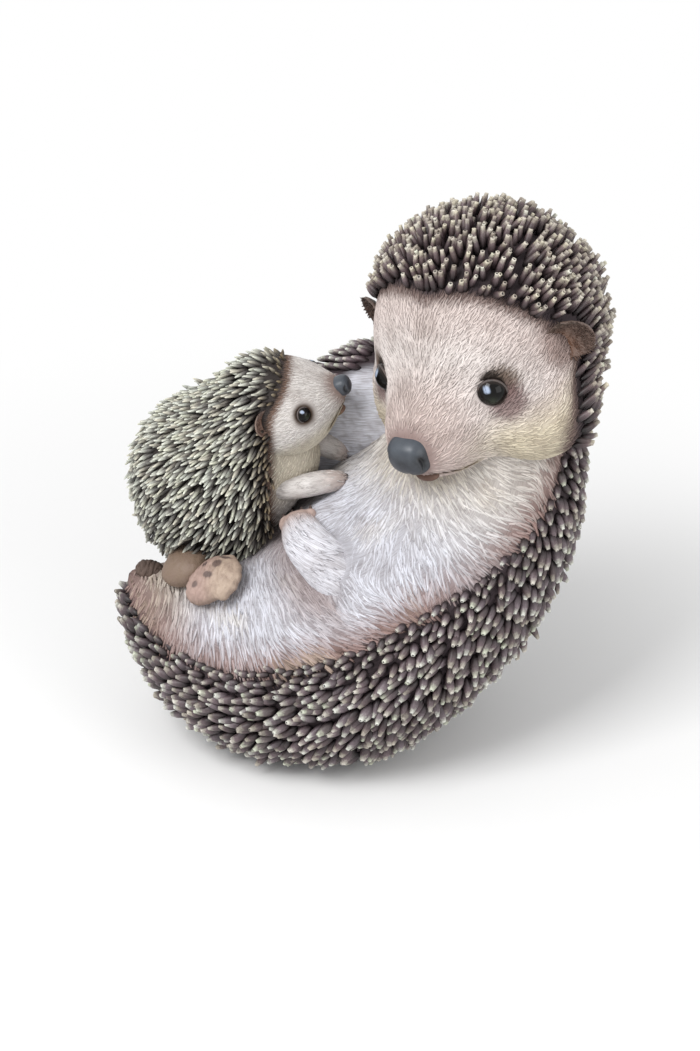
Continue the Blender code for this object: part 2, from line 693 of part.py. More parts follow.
def build_plug(kit):
    """A turned stopper: a flange that lies in the seat and a shank in the pour hole."""
    flange = PLUG_FLANGE_RADIUS - SEAT_GAP
    shank = POUR_HOLE_RADIUS - SEAT_GAP
    top = PLUG_RECESS + PLUG_FLANGE_HEIGHT - SEAT_GAP
    profile = ((0.0, PLUG_LENGTH), (shank - PLUG_CHAMFER, PLUG_LENGTH), (shank, PLUG_LENGTH - PLUG_CHAMFER),
               (shank, top), (flange, top), (flange, PLUG_RECESS), (0.0, PLUG_RECESS))
    mesh = bpy.data.meshes.new("base_plug")
    points = [(radius, 0.0, height) for radius, height in profile]
    mesh.from_pydata(points, [(step, step + 1) for step in range(len(points) - 1)], [])
    mesh.materials.append(make_material("base_plug_finish", *FINISHES["base_plug"]))
    plug = bpy.data.objects.new("base_plug", mesh)
    plug.location.x = POUR_HOLE_X
    kit["parts"].objects.link(plug)
    screw = plug.modifiers.new("turn", "SCREW")
    screw.steps = screw.render_steps = 24
    screw.use_merge_vertices = True
    screw.merge_threshold = 0.00001


def build_head(kit):
    tools = kit["tools"]
    skin = form_mesh(head_form(), HEAD_BLEND, HEAD_CELLS, head_matrix())
    raise_head_quills(skin)
    head = link_mesh("mother_head", skin, kit["parts"])
    nose = head_matrix() @ Matrix.Translation((0.0, -MUZZLE_LENGTH, -MUZZLE_DROP))
    join(head, link_mesh("nose", sphere_mesh(NOSE_RADIUS, 16, 10, nose, NOSE_STRETCH), tools), "UNION")
    for side, word in ((1, "left"), (-1, "right")):
        add_ear(head, word + "_ear", head_ear(side), side, EAR_RADIUS, EAR_THICKNESS, kit)
        eye = on_form(EYE_DIRECTION, side, head_form(), HEAD_BLEND, EYE_PROUD - EYE_RADIUS)
        set_eye(head, "mother_" + word + "_eye", head_matrix() @ eye, EYE_RADIUS, kit)
    hollow = [(middle, [radius - CASTING_WALL for radius in radii]) for middle, radii in head_form()[:2]]
    cavity = form_mesh(hollow, HEAD_BLEND, HEAD_CAVITY_CELLS, head_matrix())
    join(head, link_mesh("head_cavity", cavity, tools), "DIFFERENCE")
    join(head, kit["body_seat"], "DIFFERENCE")


def build_baby(kit):
    tools = kit["tools"]
    skin = form_mesh(baby_form(), BABY_BLEND, BABY_CELLS, Matrix.Translation(baby_place()))
    raise_baby_quills(skin)
    baby = link_mesh("baby", skin, kit["parts"])
    face = form_mesh(baby_head_form(), BABY_HEAD_BLEND, BABY_HEAD_CELLS, baby_head_matrix())
    raise_baby_head_quills(face)
    join(baby, link_mesh("baby_face", face, tools), "UNION")
    nose = baby_head_matrix() @ Matrix.Translation((0.0, -BABY_MUZZLE_LENGTH, 0.0))
    join(baby, link_mesh("baby_nose", sphere_mesh(BABY_NOSE_RADIUS, 12, 8, nose), tools), "UNION")
    for name, places in (("baby_near_arm", BABY_NEAR_ARM), ("baby_far_arm", BABY_FAR_ARM)):
        points = [baby_place() + Vector(place) for place in places]
        radii = [BABY_ARM_RADIUS * share for share in BABY_ARM_TAPER]
        join(baby, limb_object(name, points, radii, tools), "UNION")
    for side, word in ((1, "left"), (-1, "right")):
        add_ear(baby, "baby_" + word + "_ear", baby_ear(side), side, BABY_EAR_RADIUS, BABY_EAR_THICKNESS, kit)
        eye = on_form(BABY_EYE_DIRECTION, side, baby_head_form(), BABY_HEAD_BLEND, BABY_EYE_PROUD - BABY_EYE_RADIUS)
        set_eye(baby, "baby_" + word + "_eye", baby_head_matrix() @ eye, BABY_EYE_RADIUS, kit)
    join(baby, kit["body_seat"], "DIFFERENCE")


def main():
    clear_scene()
    kit = {"parts": make_collection("hedgehog_and_baby"), "tools": make_collection("cutters")}
    kit["body_seat"] = make_body_seat(kit)
    build_body(kit)
    build_head(kit)
    build_baby(kit)
    build_plug(kit)


main()
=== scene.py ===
# Mother hedgehog and her baby: the painted finish of a cast resin garden ornament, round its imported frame.
import math
import bpy
import numpy as np
from mathutils import Matrix, Vector


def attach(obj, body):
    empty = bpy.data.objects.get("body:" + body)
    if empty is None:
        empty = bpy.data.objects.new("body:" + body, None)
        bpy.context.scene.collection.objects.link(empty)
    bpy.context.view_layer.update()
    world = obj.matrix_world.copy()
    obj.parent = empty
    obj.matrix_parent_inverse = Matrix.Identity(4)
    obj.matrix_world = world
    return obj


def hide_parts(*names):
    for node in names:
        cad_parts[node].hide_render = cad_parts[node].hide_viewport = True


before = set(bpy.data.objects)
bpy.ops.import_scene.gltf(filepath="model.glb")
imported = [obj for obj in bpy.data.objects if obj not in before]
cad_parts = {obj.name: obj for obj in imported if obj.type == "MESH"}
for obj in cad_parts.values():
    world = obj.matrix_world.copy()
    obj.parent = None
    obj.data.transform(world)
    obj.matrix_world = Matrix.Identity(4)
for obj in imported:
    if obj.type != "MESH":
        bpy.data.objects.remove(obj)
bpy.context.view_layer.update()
rng = np.random.default_rng(11)


# Colour and noise

def paint(code):  # a hex paint code as a linear colour
    parts = np.array([int(code[k:k + 2], 16) for k in (0, 2, 4)]) / 255
    return np.where(parts <= 0.04045, parts / 12.92, ((parts + 0.055) / 1.055) ** 2.4)


def rgba(code):
    return (*paint(code), 1.0)


def plain(code, points):  # one paint for every point
    return np.broadcast_to(paint(code), points.shape)


def layered(colour, *layers):  # moves each point's colour toward each paint in turn, by the paint's share there
    for code, share in layers:
        share = np.clip(share, 0, 1)[..., None]
        colour = colour * (1 - share) + paint(code) * share
    return colour


def ease(x, low, high):  # smooth step: 0 below low, 1 above high, 3x^2 - 2x^3 between
    x = np.clip((x - low) / (high - low), 0, 1)
    return x * x * (3 - 2 * x)


def within(gap, reach, soft):  # 0 past the reach, easing up to 1 over the soft width inside it
    return ease(reach - gap, 0.0, soft)


def bell(x, width):  # e to the minus square of x over the width
    return np.exp(-(x / width) ** 2)


def hashGrid(ix, iy, seed):  # a fixed number from 0 to 1 for each whole-numbered corner
    n = (ix * 374761393 + iy * 668265263 + seed * 1442695041) & 0xFFFFFFFF
    n = ((n ^ (n >> 13)) * 1274126177) & 0xFFFFFFFF
    return ((n ^ (n >> 16)) & 0xFFFF) / 65535.0


def smoothNoise(x, y, seed, period=0):
    # gradient noise, about -1 to 1: each corner's slope times the offset from it, eased between corners
    ix, iy = np.floor(x).astype(np.int64), np.floor(y).astype(np.int64)
    fx, fy = x - ix, y - iy
    sx, sy = (f ** 3 * (f * (f * 6 - 15) + 10) for f in (fx, fy))

    def corner(cx, cy):
        row = (iy + cy) % period if period else iy + cy
        turn = 2 * np.pi * hashGrid(ix + cx, row, seed)
        return np.cos(turn) * (fx - cx) + np.sin(turn) * (fy - cy)
    low = corner(0, 0) * (1 - sx) + corner(1, 0) * sx
    high = corner(0, 1) * (1 - sx) + corner(1, 1) * sx
    return 1.5 * (low * (1 - sy) + high * sy)


def strands(u, v, length, width, seed):
    # 0 in the grooves and up to 1 on the strands: the size of a noise drawn out along the fur
    return np.minimum(np.abs(smoothNoise(u / length, v / width, seed)) * 2.6, 1) ** 0.7


# Vectors and turns

def lengthOf(vectors):
    return np.linalg.norm(vectors, axis=-1)


def unit(vectors):
    return vectors / (lengthOf(vectors)[..., None] + 1e-12)


def across(vectors, normals):  # what is left of the vectors after their part along the normals
    return vectors - normals * np.sum(normals * vectors, -1, keepdims=True)


def moved(points, matrix):
    grid = np.array(matrix)
    return points @ grid[:3, :3].T + grid[:3, 3]


def turnedOnly(vectors, matrix):
    return vectors @ np.array(matrix)[:3, :3].T


def headTurn(turn):  # X is the head's left, -Y its face and Z its crown, turned by yaw, pitch and roll
    yaw, pitch, roll = (math.radians(value) for value in turn)
    return Matrix.Rotation(yaw, 4, "Z") @ Matrix.Rotation(-pitch, 4, "X") @ Matrix.Rotation(-roll, 4, "Y")


def placedAt(place, turn=Matrix.Identity(4)):
    return Matrix.Translation(Vector(place)) @ turn


def wholeTurn(count):
    return 2 * np.pi * np.arange(count) / count


def evenDirections(count):  # directions spread evenly over a ball along a golden spiral
    k = np.arange(count) + 0.5
    height = 1 - 2 * k / count
    turn = np.pi * (1 + 5 ** 0.5) * k
    level = np.sqrt(1 - height * height)
    return np.stack([level * np.cos(turn), level * np.sin(turn), height], -1)


def ballDirections(rows, columns):  # a ball's directions in rows of polar angle from Z and columns round it
    polar, turn = (np.pi * (np.arange(rows) + 0.5) / rows)[:, None], wholeTurn(columns)
    return np.stack([np.sin(polar) * np.cos(turn), np.sin(polar) * np.sin(turn), np.cos(polar) + 0 * turn], -1)


def smoothPath(points, count):
    # a curve through the points: cubic pieces whose slope at a point is half the step between its neighbours
    points = np.array(points)
    ends = np.concatenate([[2 * points[0] - points[1]], points, [2 * points[-1] - points[-2]]])
    t = np.linspace(0, len(points) - 1 - 1e-9, count)
    k = t.astype(int)
    f = (t - k)[:, None]
    a, b, c, d = ends[k], ends[k + 1], ends[k + 2], ends[k + 3]
    return 0.5 * (2 * b + (c - a) * f + (2 * a - 5 * b + 4 * c - d) * f ** 2 + (3 * b - a - 3 * c + d) * f ** 3)


def smoothRadii(radii, count):
    return smoothPath([(radius, 0, 0) for radius in radii], count)[:, 0]


# Meshes

def linkMesh(name, points, faces, material, attributes, nodes=()):
    # an attribute is a colour under the name paint, and otherwise a number or a vector for every point
    mesh = bpy.data.meshes.new(name)
    mesh.from_pydata(points.reshape(-1, 3).tolist(), [], faces)
    for key, values in attributes.items():
        values = np.asarray(values, float)
        kind, field = ("FLOAT", "value") if values.ndim == 1 else ("FLOAT_VECTOR", "vector")
        if key == "paint":
            kind, field = "FLOAT_COLOR", "color"
            values = np.concatenate([values, np.ones((len(values), 1))], axis=1)
        mesh.attributes.new(key, kind, "POINT").data.foreach_set(field, values.ravel())
    mesh.shade_smooth()
    mesh.materials.append(material)
    piece = bpy.data.objects.new(name, mesh)
    bpy.context.scene.collection.objects.link(piece)
    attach(piece, "root")
    if nodes:
        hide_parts(*nodes)


def gridNormals(points, poles):
    # across the rows times along them, with the poles as the rows before the first and after the last
    first, last = (np.repeat(pole[None, None], points.shape[1], axis=1) for pole in poles)
    tall = np.concatenate([first, points, last])
    normal = unit(np.cross(np.roll(points, -1, axis=1) - np.roll(points, 1, axis=1), tall[2:] - tall[:-2]))
    outward = np.sum(normal * (points - points.mean(axis=1, keepdims=True)))
    return normal if outward > 0 else -normal


def endPoles(points):  # the middles of a grid's first and last rows
    return np.stack([points[0].mean(axis=0), points[-1].mean(axis=0)])


def gridQuads(rows, columns, strips):
    # quads from each of the strips' rows to the next, round the columns; the last row is followed by the first
    row, column = np.meshgrid(np.arange(strips), np.arange(columns), indexing="ij")
    after, below = (column + 1) % columns, (row + 1) % rows * columns
    row = row * columns
    return np.stack([row + column, row + after, below + after, below + column], -1).reshape(-1, 4)


def closedGrid(rows, columns):  # quads round a tube of rows, and a fan of triangles to the pole at each end
    ring = np.arange(columns)
    after, last = (ring + 1) % columns, (rows - 1) * columns
    first = np.stack([after, ring, np.full(columns, rows * columns)], -1)
    end = np.stack([last + ring, last + after, np.full(columns, rows * columns + 1)], -1)
    return gridQuads(rows, columns, rows - 1), np.concatenate([first, end])


def facingOut(points, quads, triangles):
    # the volume of the fans from the origin: less than nothing where the faces point in
    sides = np.concatenate([triangles, quads[:, :3], quads[:, [0, 2, 3]]])
    a, b, c = (points[sides[:, k]] for k in range(3))
    way = -1 if np.sum(np.cross(a, b) * c) < 0 else 1
    return quads[:, ::way].tolist() + triangles[:, ::way].tolist()


def gridPiece(name, points, poles, material, attributes, nodes=(), matrix=Matrix.Identity(4)):
    # a closed skin from a grid of points, moved by the matrix; a pole takes the attributes of its row's end
    rows, columns = points.shape[:2]
    every = moved(np.concatenate([points.reshape(-1, 3), poles]), matrix)
    spread = {}
    for key, values in attributes.items():
        flat = values.reshape(rows * columns, -1)
        flat = np.concatenate([flat, flat[:1], flat[-1:]])
        spread[key] = flat[:, 0] if flat.shape[1] == 1 else flat
    linkMesh(name, every, facingOut(every, *closedGrid(rows, columns)), material, spread, nodes)


def linkCopies(name, points, middles, rows, sides, material, attributes):
    # a closed tube for each row of points, which holds its rings and then its two poles
    count, step = points.shape[:2]
    shift = np.arange(count)[:, None, None] * step
    quads, caps = ((faces + shift).reshape(-1, faces.shape[1]) for faces in closedGrid(rows, sides))
    faces = facingOut((points - middles[:, None]).reshape(-1, 3), quads, caps)
    linkMesh(name, points, faces, material, attributes)
    print(name, count, "copies", 2 * len(quads) + len(caps), "triangles")


# Blended forms: a form is a list of (middle, radii) ellipsoids that melt into one skin

def formDistance(points, form, blend):
    # soft union: minus the log of the sum of e to the minus each ellipsoid's distance over the blend
    total = 0.0
    for middle, radii in form:
        scaled = lengthOf((points - np.array(middle)) / np.array(radii))
        total = total + np.exp(-(scaled - 1) * min(radii) / blend)
    return -np.log(total) * blend


def formSkin(directions, form, blend, centre=(0.0, 0.0, 0.0), farthest=0.15):
    # the point where each ray from the centre leaves the form, found by halving
    centre = np.array(centre)
    near = np.zeros(directions.shape[:-1])
    far = np.full(directions.shape[:-1], farthest)
    for _ in range(24):
        half = (near + far) / 2
        inside = formDistance(centre + directions * half[..., None], form, blend) < 0
        near, far = np.where(inside, half, near), np.where(inside, far, half)
    return centre + directions * near[..., None]


def formNormal(points, form, blend, step=0.0002):  # the slope of the distance, by small steps along each axis
    slope = [formDistance(points + step * axis, form, blend) - formDistance(points - step * axis, form, blend)
             for axis in np.eye(3)]
    return unit(np.stack(slope, -1))


# Torso: the same leaning arc of rolling ellipses as the casting; its length and girth unroll the fur flat

torso = {
    "arcRadius": 0.097, "riseRadius": 0.114, "rumpAngle": -42, "neckAngle": 95, "leanAngle": 17,
    "halfWidth": 0.0645, "halfDepth": 0.054, "rollAtRump": 17, "rollAtNeck": 52, "rumpTaper": 0.72, "neckTaper": 0.27,
    "inset": 0.004, "insetStart": 0.38, "insetEnd": 0.88, "baseCut": 0.0038,
    "furAtRump": 100, "furAtWaist": 50, "furAtNeck": 110, "length": 0.19, "girth": 0.055,
    "rows": 262, "columns": 368, "plugX": 0.026, "plugPocket": 0.0112, "plugPocketDepth": 0.0032,
}


def between(first, last, share):
    return torso[first] + (torso[last] - torso[first]) * share


def torsoRadii(share):
    swell = np.sin(np.pi * np.clip(share, 0, 1)) ** between("rumpTaper", "neckTaper", share)
    return torso["halfWidth"] * swell, torso["halfDepth"] * swell


def torsoSection(share):
    # centre on the arc, the direction to the near side and the direction out of the belly
    share = np.asarray(share, float)[..., None]
    turn = np.radians(between("rumpAngle", "neckAngle", share))
    lean = math.radians(torso["leanAngle"])
    level = np.array((1.0, 0.0, 0.0))
    upward = np.array((0.0, math.sin(lean), math.cos(lean)))
    aside = np.array((0.0, math.cos(lean), -math.sin(lean)))
    inward = np.cos(turn) * upward - np.sin(turn) * level
    drawn = np.clip((share - torso["insetStart"]) / (torso["insetEnd"] - torso["insetStart"]), 0, 1)
    centre = torso["arcRadius"] * np.sin(turn) * level + torso["riseRadius"] * (1 - np.cos(turn)) * upward
    centre = centre + torso["inset"] * np.sin(np.pi * drawn) ** 2 * inward
    roll = np.radians(between("rollAtRump", "rollAtNeck", share))
    near = -np.cos(roll) * aside - np.sin(roll) * inward
    return centre, near, np.cos(roll) * inward - np.sin(roll) * aside


def torsoLift():  # the height of the arc that lets the ground cut the skin to its depth
    share = np.linspace(0.005, 0.995, 199)
    centre, near, out = torsoSection(share)
    halfWidth, halfDepth = torsoRadii(share)
    return -(centre[:, 2] - np.hypot(halfWidth * near[:, 2], halfDepth * out[:, 2])).min() - torso["baseCut"]


torso["lift"] = torsoLift()


def torsoFrame(share):
    centre, near, out = torsoSection(share)
    return centre + np.array((0.0, 0.0, torso["lift"])), near, out


def torsoPoint(share, angle, grow=0.0):
    # centre plus half width times the sine and half depth times the cosine of the angle from the belly's middle
    share, angle = np.broadcast_arrays(np.asarray(share, float), np.asarray(angle, float))
    centre, near, out = torsoFrame(share)
    halfWidth, halfDepth = torsoRadii(share)
    side, front = (halfWidth + grow) * np.sin(angle), (halfDepth + grow) * np.cos(angle)
    ahead = -grow * np.cos(np.pi * share)
    return centre + side[..., None] * near + front[..., None] * out + ahead[..., None] * np.cross(out, near)


def torsoPlace(place):  # from the share of the torso, the degrees from the belly's middle and the height off it
    return torsoPoint(place[0], math.radians(place[1]), place[2])


def torsoClearance(points):
    # about how far points stand off the torso: the ellipse distance in the nearest section
    share = np.linspace(0.01, 0.99, 60)
    centre, near, out = torsoFrame(share)
    halfWidth, halfDepth = torsoRadii(share)
    offset = points[..., None, :] - centre
    level = np.abs(np.sum(offset * np.cross(out, near), axis=-1)).argmin(axis=-1)
    picked = np.take_along_axis(offset, level[..., None, None], axis=-2)[..., 0, :]
    side = np.sum(picked * near[level], axis=-1) / halfWidth[level]
    front = np.sum(picked * out[level], axis=-1) / halfDepth[level]
    return (np.hypot(side, front) - 1) * halfDepth[level]


def furEdge(share):  # how far round from the belly's middle the fur goes, in radians
    towardRump = (torso["furAtRump"] - torso["furAtWaist"]) * np.clip(1 - 2 * share, 0, 1) ** 2
    towardNeck = (torso["furAtNeck"] - torso["furAtWaist"]) * np.clip(2 * share - 1, 0, 1) ** 2
    return np.radians(torso["furAtWaist"] + towardRump + towardNeck)


def unrolled(share, angle):
    return share * torso["length"], angle * torso["girth"]


# Heads and the baby: the same forms as the castings, in each head's own axes

mother = {
    "offset": (-0.0016, -0.0040, 0.0252), "turn": (-32.7, -22.3, 11), "blend": 0.006,
    "skull": (0.0480, 0.0470, 0.0465), "faceMiddle": (0.0, -0.0080, -0.0080), "face": (0.0400, 0.0320, 0.0300),
    "cheekMiddle": (0.0310, -0.0265, -0.0265), "cheek": (0.0235, 0.0195, 0.0190),
    "bridgeMiddle": (0.0, -0.0420, -0.0095), "bridge": (0.0180, 0.0270, 0.0170),
    "jawMiddle": (0.0, -0.0460, -0.0200), "jaw": (0.0175, 0.0200, 0.0125),
    "muzzleLength": 0.073, "muzzleDrop": 0.0095, "snout": (0.0130, 0.0165, 0.0125), "noseProud": 0.0030,
    "eyeDirection": (0.0270, 0.0400, 0.0008), "eyeRadius": 0.0069, "eyeProud": 0.0034, "lidThick": 0.00055,
    "earDirection": (0.051, 0.0085, 0.005), "earRadius": 0.0102, "earProud": 0.0028, "earThickness": 0.005,
    # the ear's paints: its base, an orange-brown patch, a painted shadow for the top of the dish, and its rim
    "earCodes": ("57463e", "82583f", "40342c", "63524b"), "earHairs": 260, "rows": 176, "columns": 540,
    "owner": "mother", "slot": "head_finish", "centre": (0.0, -0.020, -0.004), "denseTo": 108, "furTo": 125,
    "undercoat": 0.2, "sink": 0.0001, "flowWidth": 0.03, "furPast": 0.0015, "noseClear": 0.0105, "eyeClear": 0.0069,
    "swirl": 0.25, "mouthSteps": 60, "mouth": ((0.0067, -0.0740, -0.0206), (0.0119, -0.0690, -0.0237),
                                               (0.0150, -0.0625, -0.0268), (0.0180, -0.0580, -0.0275)),
    "nose": {"place": (0.0, -0.073, -0.0095), "radii": (0.0097, 0.0084, 0.0090), "code": "2a2d32", "power": 0.72,
             "rows": 90, "columns": 140},
}
baby = {
    "seatShare": 0.2, "offset": (-0.0145, 0.030, 0.029), "body": (0.0318, 0.0335, 0.0352),
    "chestMiddle": (0.0202, 0.0, 0.004), "chest": (0.0228, 0.0241, 0.0268),
    "haunchMiddle": (0.0061, -0.002, -0.0184), "haunch": 0.0228, "bodyBlend": 0.004,
    "throatMiddle": (0.0350, -0.0070, 0.0150), "throat": (0.0168, 0.0130, 0.0200),
    "headOffset": (0.0325, -0.003, 0.036), "turn": (80, 24, 12), "blend": 0.003, "skull": 0.0225,
    "faceMiddle": (0.0, -0.0079, -0.0027), "face": (0.0203, 0.0191, 0.0169),
    "muzzleLength": 0.0325, "muzzleDrop": 0.0015, "snout": (0.0088, 0.0150, 0.0078),
    "eyeDirection": (0.0170, 0.0170, 0.0030), "eyeRadius": 0.0036, "eyeProud": 0.0018, "lidThick": 0.00035,
    "earDirection": (0.0205, 0.0005, 0.0075), "earRadius": 0.0058, "earProud": 0.0002, "earThickness": 0.0028,
    # the ear's paints: its base, an orange-brown patch, a painted shadow for the top of the dish, and its rim
    "earCodes": ("6a5348", "9a6f58", "4d413c", "7d695f"), "earHairs": 120, "rows": 110, "columns": 260,
    "owner": "baby", "slot": "baby_finish", "centre": (0.0, -0.007, -0.001), "denseTo": 112, "furTo": 120,
    "undercoat": 0.34, "sink": 0.0, "flowWidth": 0.014, "furPast": 0.001, "noseClear": 0.0052, "eyeClear": 0.0044,
    "swirl": 0.0, "mouthSteps": 40, "mouth": ((0.0, -0.0300, -0.0072), (0.0050, -0.0293, -0.0074),
                                              (0.0078, -0.0258, -0.0098), (0.0104, -0.0220, -0.0122)),
    "nose": {"place": (0.0, -0.0325, 0.0), "radii": (0.0046, 0.0044, 0.0044), "code": "34373d", "power": 0.8,
             "rows": 60, "columns": 90},
    "coatEdge": 0.0285, "coatEdgeOnHead": 0.0365, "hoodHeight": 0.026,
}
shoulder = {"offset": (-0.037, 0.018, -0.049), "radii": (0.040, 0.025, 0.025), "blend": 0.010, "coatEdge": -0.0115,
            "flankMiddle": (-0.030, 0.004, -0.025), "flank": (0.024, 0.019, 0.018), "rows": 60, "columns": 90}

origin = (0.0, 0.0, 0.0)
motherPlace = torsoFrame(1.0)[0] + np.array(mother["offset"])
shoulderPlace = motherPlace + np.array(shoulder["offset"])
babyPlace = torsoPoint(baby["seatShare"], 0.0) + np.array(baby["offset"])
babyHeadPlace = babyPlace + np.array(baby["headOffset"])
mother["matrix"] = placedAt(motherPlace, headTurn(mother["turn"]))
baby["matrix"] = placedAt(babyHeadPlace, headTurn(baby["turn"]))
farCheek = (-mother["cheekMiddle"][0], *mother["cheekMiddle"][1:])
mother["form"] = [
    (origin, mother["skull"]), (mother["faceMiddle"], mother["face"]),
    (mother["cheekMiddle"], mother["cheek"]), (farCheek, mother["cheek"]),
    (mother["bridgeMiddle"], mother["bridge"]), (mother["jawMiddle"], mother["jaw"]),
    ((0.0, mother["noseProud"] + mother["snout"][1] - mother["muzzleLength"], -mother["muzzleDrop"]),
     mother["snout"]),
]
baby["form"] = [
    (origin, (baby["skull"],) * 3), (baby["faceMiddle"], baby["face"]),
    ((0.0, baby["snout"][1] - baby["muzzleLength"], -baby["muzzleDrop"]), baby["snout"]),
]
babyForm = [(origin, baby["body"]), (baby["chestMiddle"], baby["chest"]),
            (baby["haunchMiddle"], (baby["haunch"],) * 3), (baby["throatMiddle"], baby["throat"])]
shoulderForm = [(origin, shoulder["radii"]), (shoulder["flankMiddle"], shoulder["flank"])]


def headClearance(points):
    local = turnedOnly(points - motherPlace, mother["matrix"].inverted())
    return formDistance(local, mother["form"], mother["blend"])


def babyClearance(points):
    return formDistance(points - babyPlace, babyForm, baby["bodyBlend"])


def onHead(kit, name, side, proud):  # a place on one side of a head, in a named direction, off its skin
    spread, forward, rise = kit[name]
    towards = unit(np.array((side * spread, -forward, rise)))
    return formSkin(towards[None], kit["form"], kit["blend"])[0] + towards * proud


def eyeMiddle(kit, side):
    return onHead(kit, "eyeDirection", side, kit["eyeProud"] - kit["eyeRadius"])


def pathGap(points, path):  # how far points are from a path of points
    return lengthOf(points[..., None, :] - path).min(axis=-1)


def mouthLine(kit, local, side):  # the mouth's path on one side of a head, and how far points are from it
    path = smoothPath([(side * x, y, z) for x, y, z in kit["mouth"]], kit["mouthSteps"])
    path = formSkin(unit(path), kit["form"], kit["blend"])
    return path, pathGap(local, path)


# Finishes

def newMaterial(name):
    material = bpy.data.materials.new(name)
    material.use_nodes = True
    return material, material.node_tree


def feed(tree, socket, value):  # gives a socket its value, or links the output that feeds it
    if isinstance(value, bpy.types.NodeSocket):
        tree.links.new(value, socket)
    else:
        socket.default_value = value


def addNode(tree, kind, inputs, **settings):
    node = tree.nodes.new("ShaderNode" + kind)
    for key, value in settings.items():
        setattr(node, key, value)
    for key, value in inputs.items():
        feed(tree, node.inputs[key], value)
    return node.outputs


def attribute(tree, name, output):
    return addNode(tree, "Attribute", {}, attribute_name=name)[output]


def noise(tree, scale, detail, roughness=0.5):
    place = addNode(tree, "TexCoord", {})["Object"]
    inputs = {"Vector": place, "Scale": scale, "Detail": detail, "Roughness": roughness}
    return addNode(tree, "TexNoise", inputs)["Fac"]


def mapped(tree, value, low, high, first, last):
    limits = {"Value": value, "From Min": low, "From Max": high, "To Min": first, "To Max": last}
    return addNode(tree, "MapRange", limits)["Result"]


def mathNode(tree, operation, *values):
    return addNode(tree, "Math", dict(enumerate(values)), operation=operation)[0]


def mixColour(tree, mode, share, first, second):
    return addNode(tree, "Mix", {0: share, 6: first, 7: second}, data_type="RGBA", blend_type=mode)[2]


def finish(tree, colour, roughness, shine=0.5, **bump):
    # the surface's colour, roughness and shine, with a bump where its height, strength and distance are given
    surface = {"Base Color": colour, "Roughness": roughness, "Specular IOR Level": shine}
    if bump:
        surface["Normal"] = addNode(tree, "Bump", bump)["Normal"]
    for key, value in surface.items():
        feed(tree, tree.nodes["Principled BSDF"].inputs[key], value)


furLook = {"hairWidth": 0.00042, "hairLength": 0.0075, "roughness": 0.72, "bump": 0.5, "bumpDepth": 0.00022,
           "wash": 0.5, "grooveCode": "7d6e6a", "speckCode": "9a8b84"}
faceLook = {**furLook, "hairWidth": 0.00034, "hairLength": 0.0045, "wash": 0.4, "bumpDepth": 0.00015}
babyLook = {**furLook, "hairWidth": 0.00028, "hairLength": 0.003, "wash": 0.4, "bumpDepth": 0.00012}


def furPaint(name, look):
    # the airbrushed colour with a dark wash in the grooves: fine hairs are a noise drawn out along the flow
    material, tree = newMaterial(name)
    stretch = (1 / look["hairLength"], 1 / look["hairWidth"], 1 / look["hairWidth"])
    drawn = addNode(tree, "VectorMath", {0: attribute(tree, "flow", "Vector"), 1: stretch}, operation="MULTIPLY")[0]
    hairs = addNode(tree, "TexNoise", {"Vector": drawn, "Scale": 1.0, "Detail": 2.0, "Roughness": 0.6,
                                       "Distortion": 0.4})["Fac"]
    thin = mapped(tree, hairs, 0.36, 0.56, 0.0, 1.0)
    filled = mathNode(tree, "MULTIPLY", thin, attribute(tree, "groove", "Fac"))
    depth = mapped(tree, filled, 0.0, 1.0, look["wash"], 0.0)
    washed = mixColour(tree, "MULTIPLY", depth, attribute(tree, "paint", "Color"), rgba(look["grooveCode"]))
    patchy = mapped(tree, noise(tree, 90.0, 3.0), 0.45, 0.75, 0.0, 0.35)
    finish(tree, mixColour(tree, "MULTIPLY", patchy, washed, rgba(look["speckCode"])), look["roughness"], 0.35,
           Strength=look["bump"], Distance=look["bumpDepth"], Height=thin)
    return material


quillLook = {
    "roughness": 0.5, "bump": 0.25, "bumpDepth": 0.0002, "grain": 900.0, "brushing": 0.45,
    "stops": ((0.06, "110e0f"), (0.21, "2a2225"), (0.38, "4f4348"), (0.49, "716469"), (0.57, "b2b1a8"),
              (0.68, "e4e5dc"), (0.80, "1d191a"))}
babyQuillLook = {
    **quillLook, "grain": 1300.0, "brushing": 0.3,
    "stops": ((0.06, "151110"), (0.24, "302b2a"), (0.38, "6c6964"), (0.49, "b3b4a9"), (0.58, "dcddd1"),
              (0.9, "e8e9e1"))}


def quillPaint(name, look):
    # drybrushed quills: dark root, coloured shaft and pale tip by half of (the tip attribute + brushing x grain)
    material, tree = newMaterial(name)
    grain = noise(tree, look["grain"], 3.0, 0.65)
    rough = mathNode(tree, "MULTIPLY_ADD", grain, look["brushing"], attribute(tree, "tip", "Fac"))
    shaft = addNode(tree, "ValToRGB", {"Fac": mathNode(tree, "MULTIPLY", rough, 0.5)})["Color"]
    ramp = shaft.node.color_ramp.elements
    while len(ramp) < len(look["stops"]):
        ramp.new(0.5)
    for element, (position, code) in zip(ramp, look["stops"]):
        element.position, element.color = position, rgba(code)
    finish(tree, mixColour(tree, "MULTIPLY", 1.0, shaft, attribute(tree, "paint", "Color")), look["roughness"],
           Strength=look["bump"], Distance=look["bumpDepth"], Height=grain)
    return material


pawLook = {"mottle": 260.0, "mottleShare": 0.5, "mottleCode": "7c675d", "roughness": 0.55, "pores": 1500.0,
           "bump": 0.5}
noseLook = {"mottle": 120.0, "mottleShare": 0.25, "mottleCode": "646a72", "roughness": 0.38, "pores": 2600.0,
            "bump": 0.16}


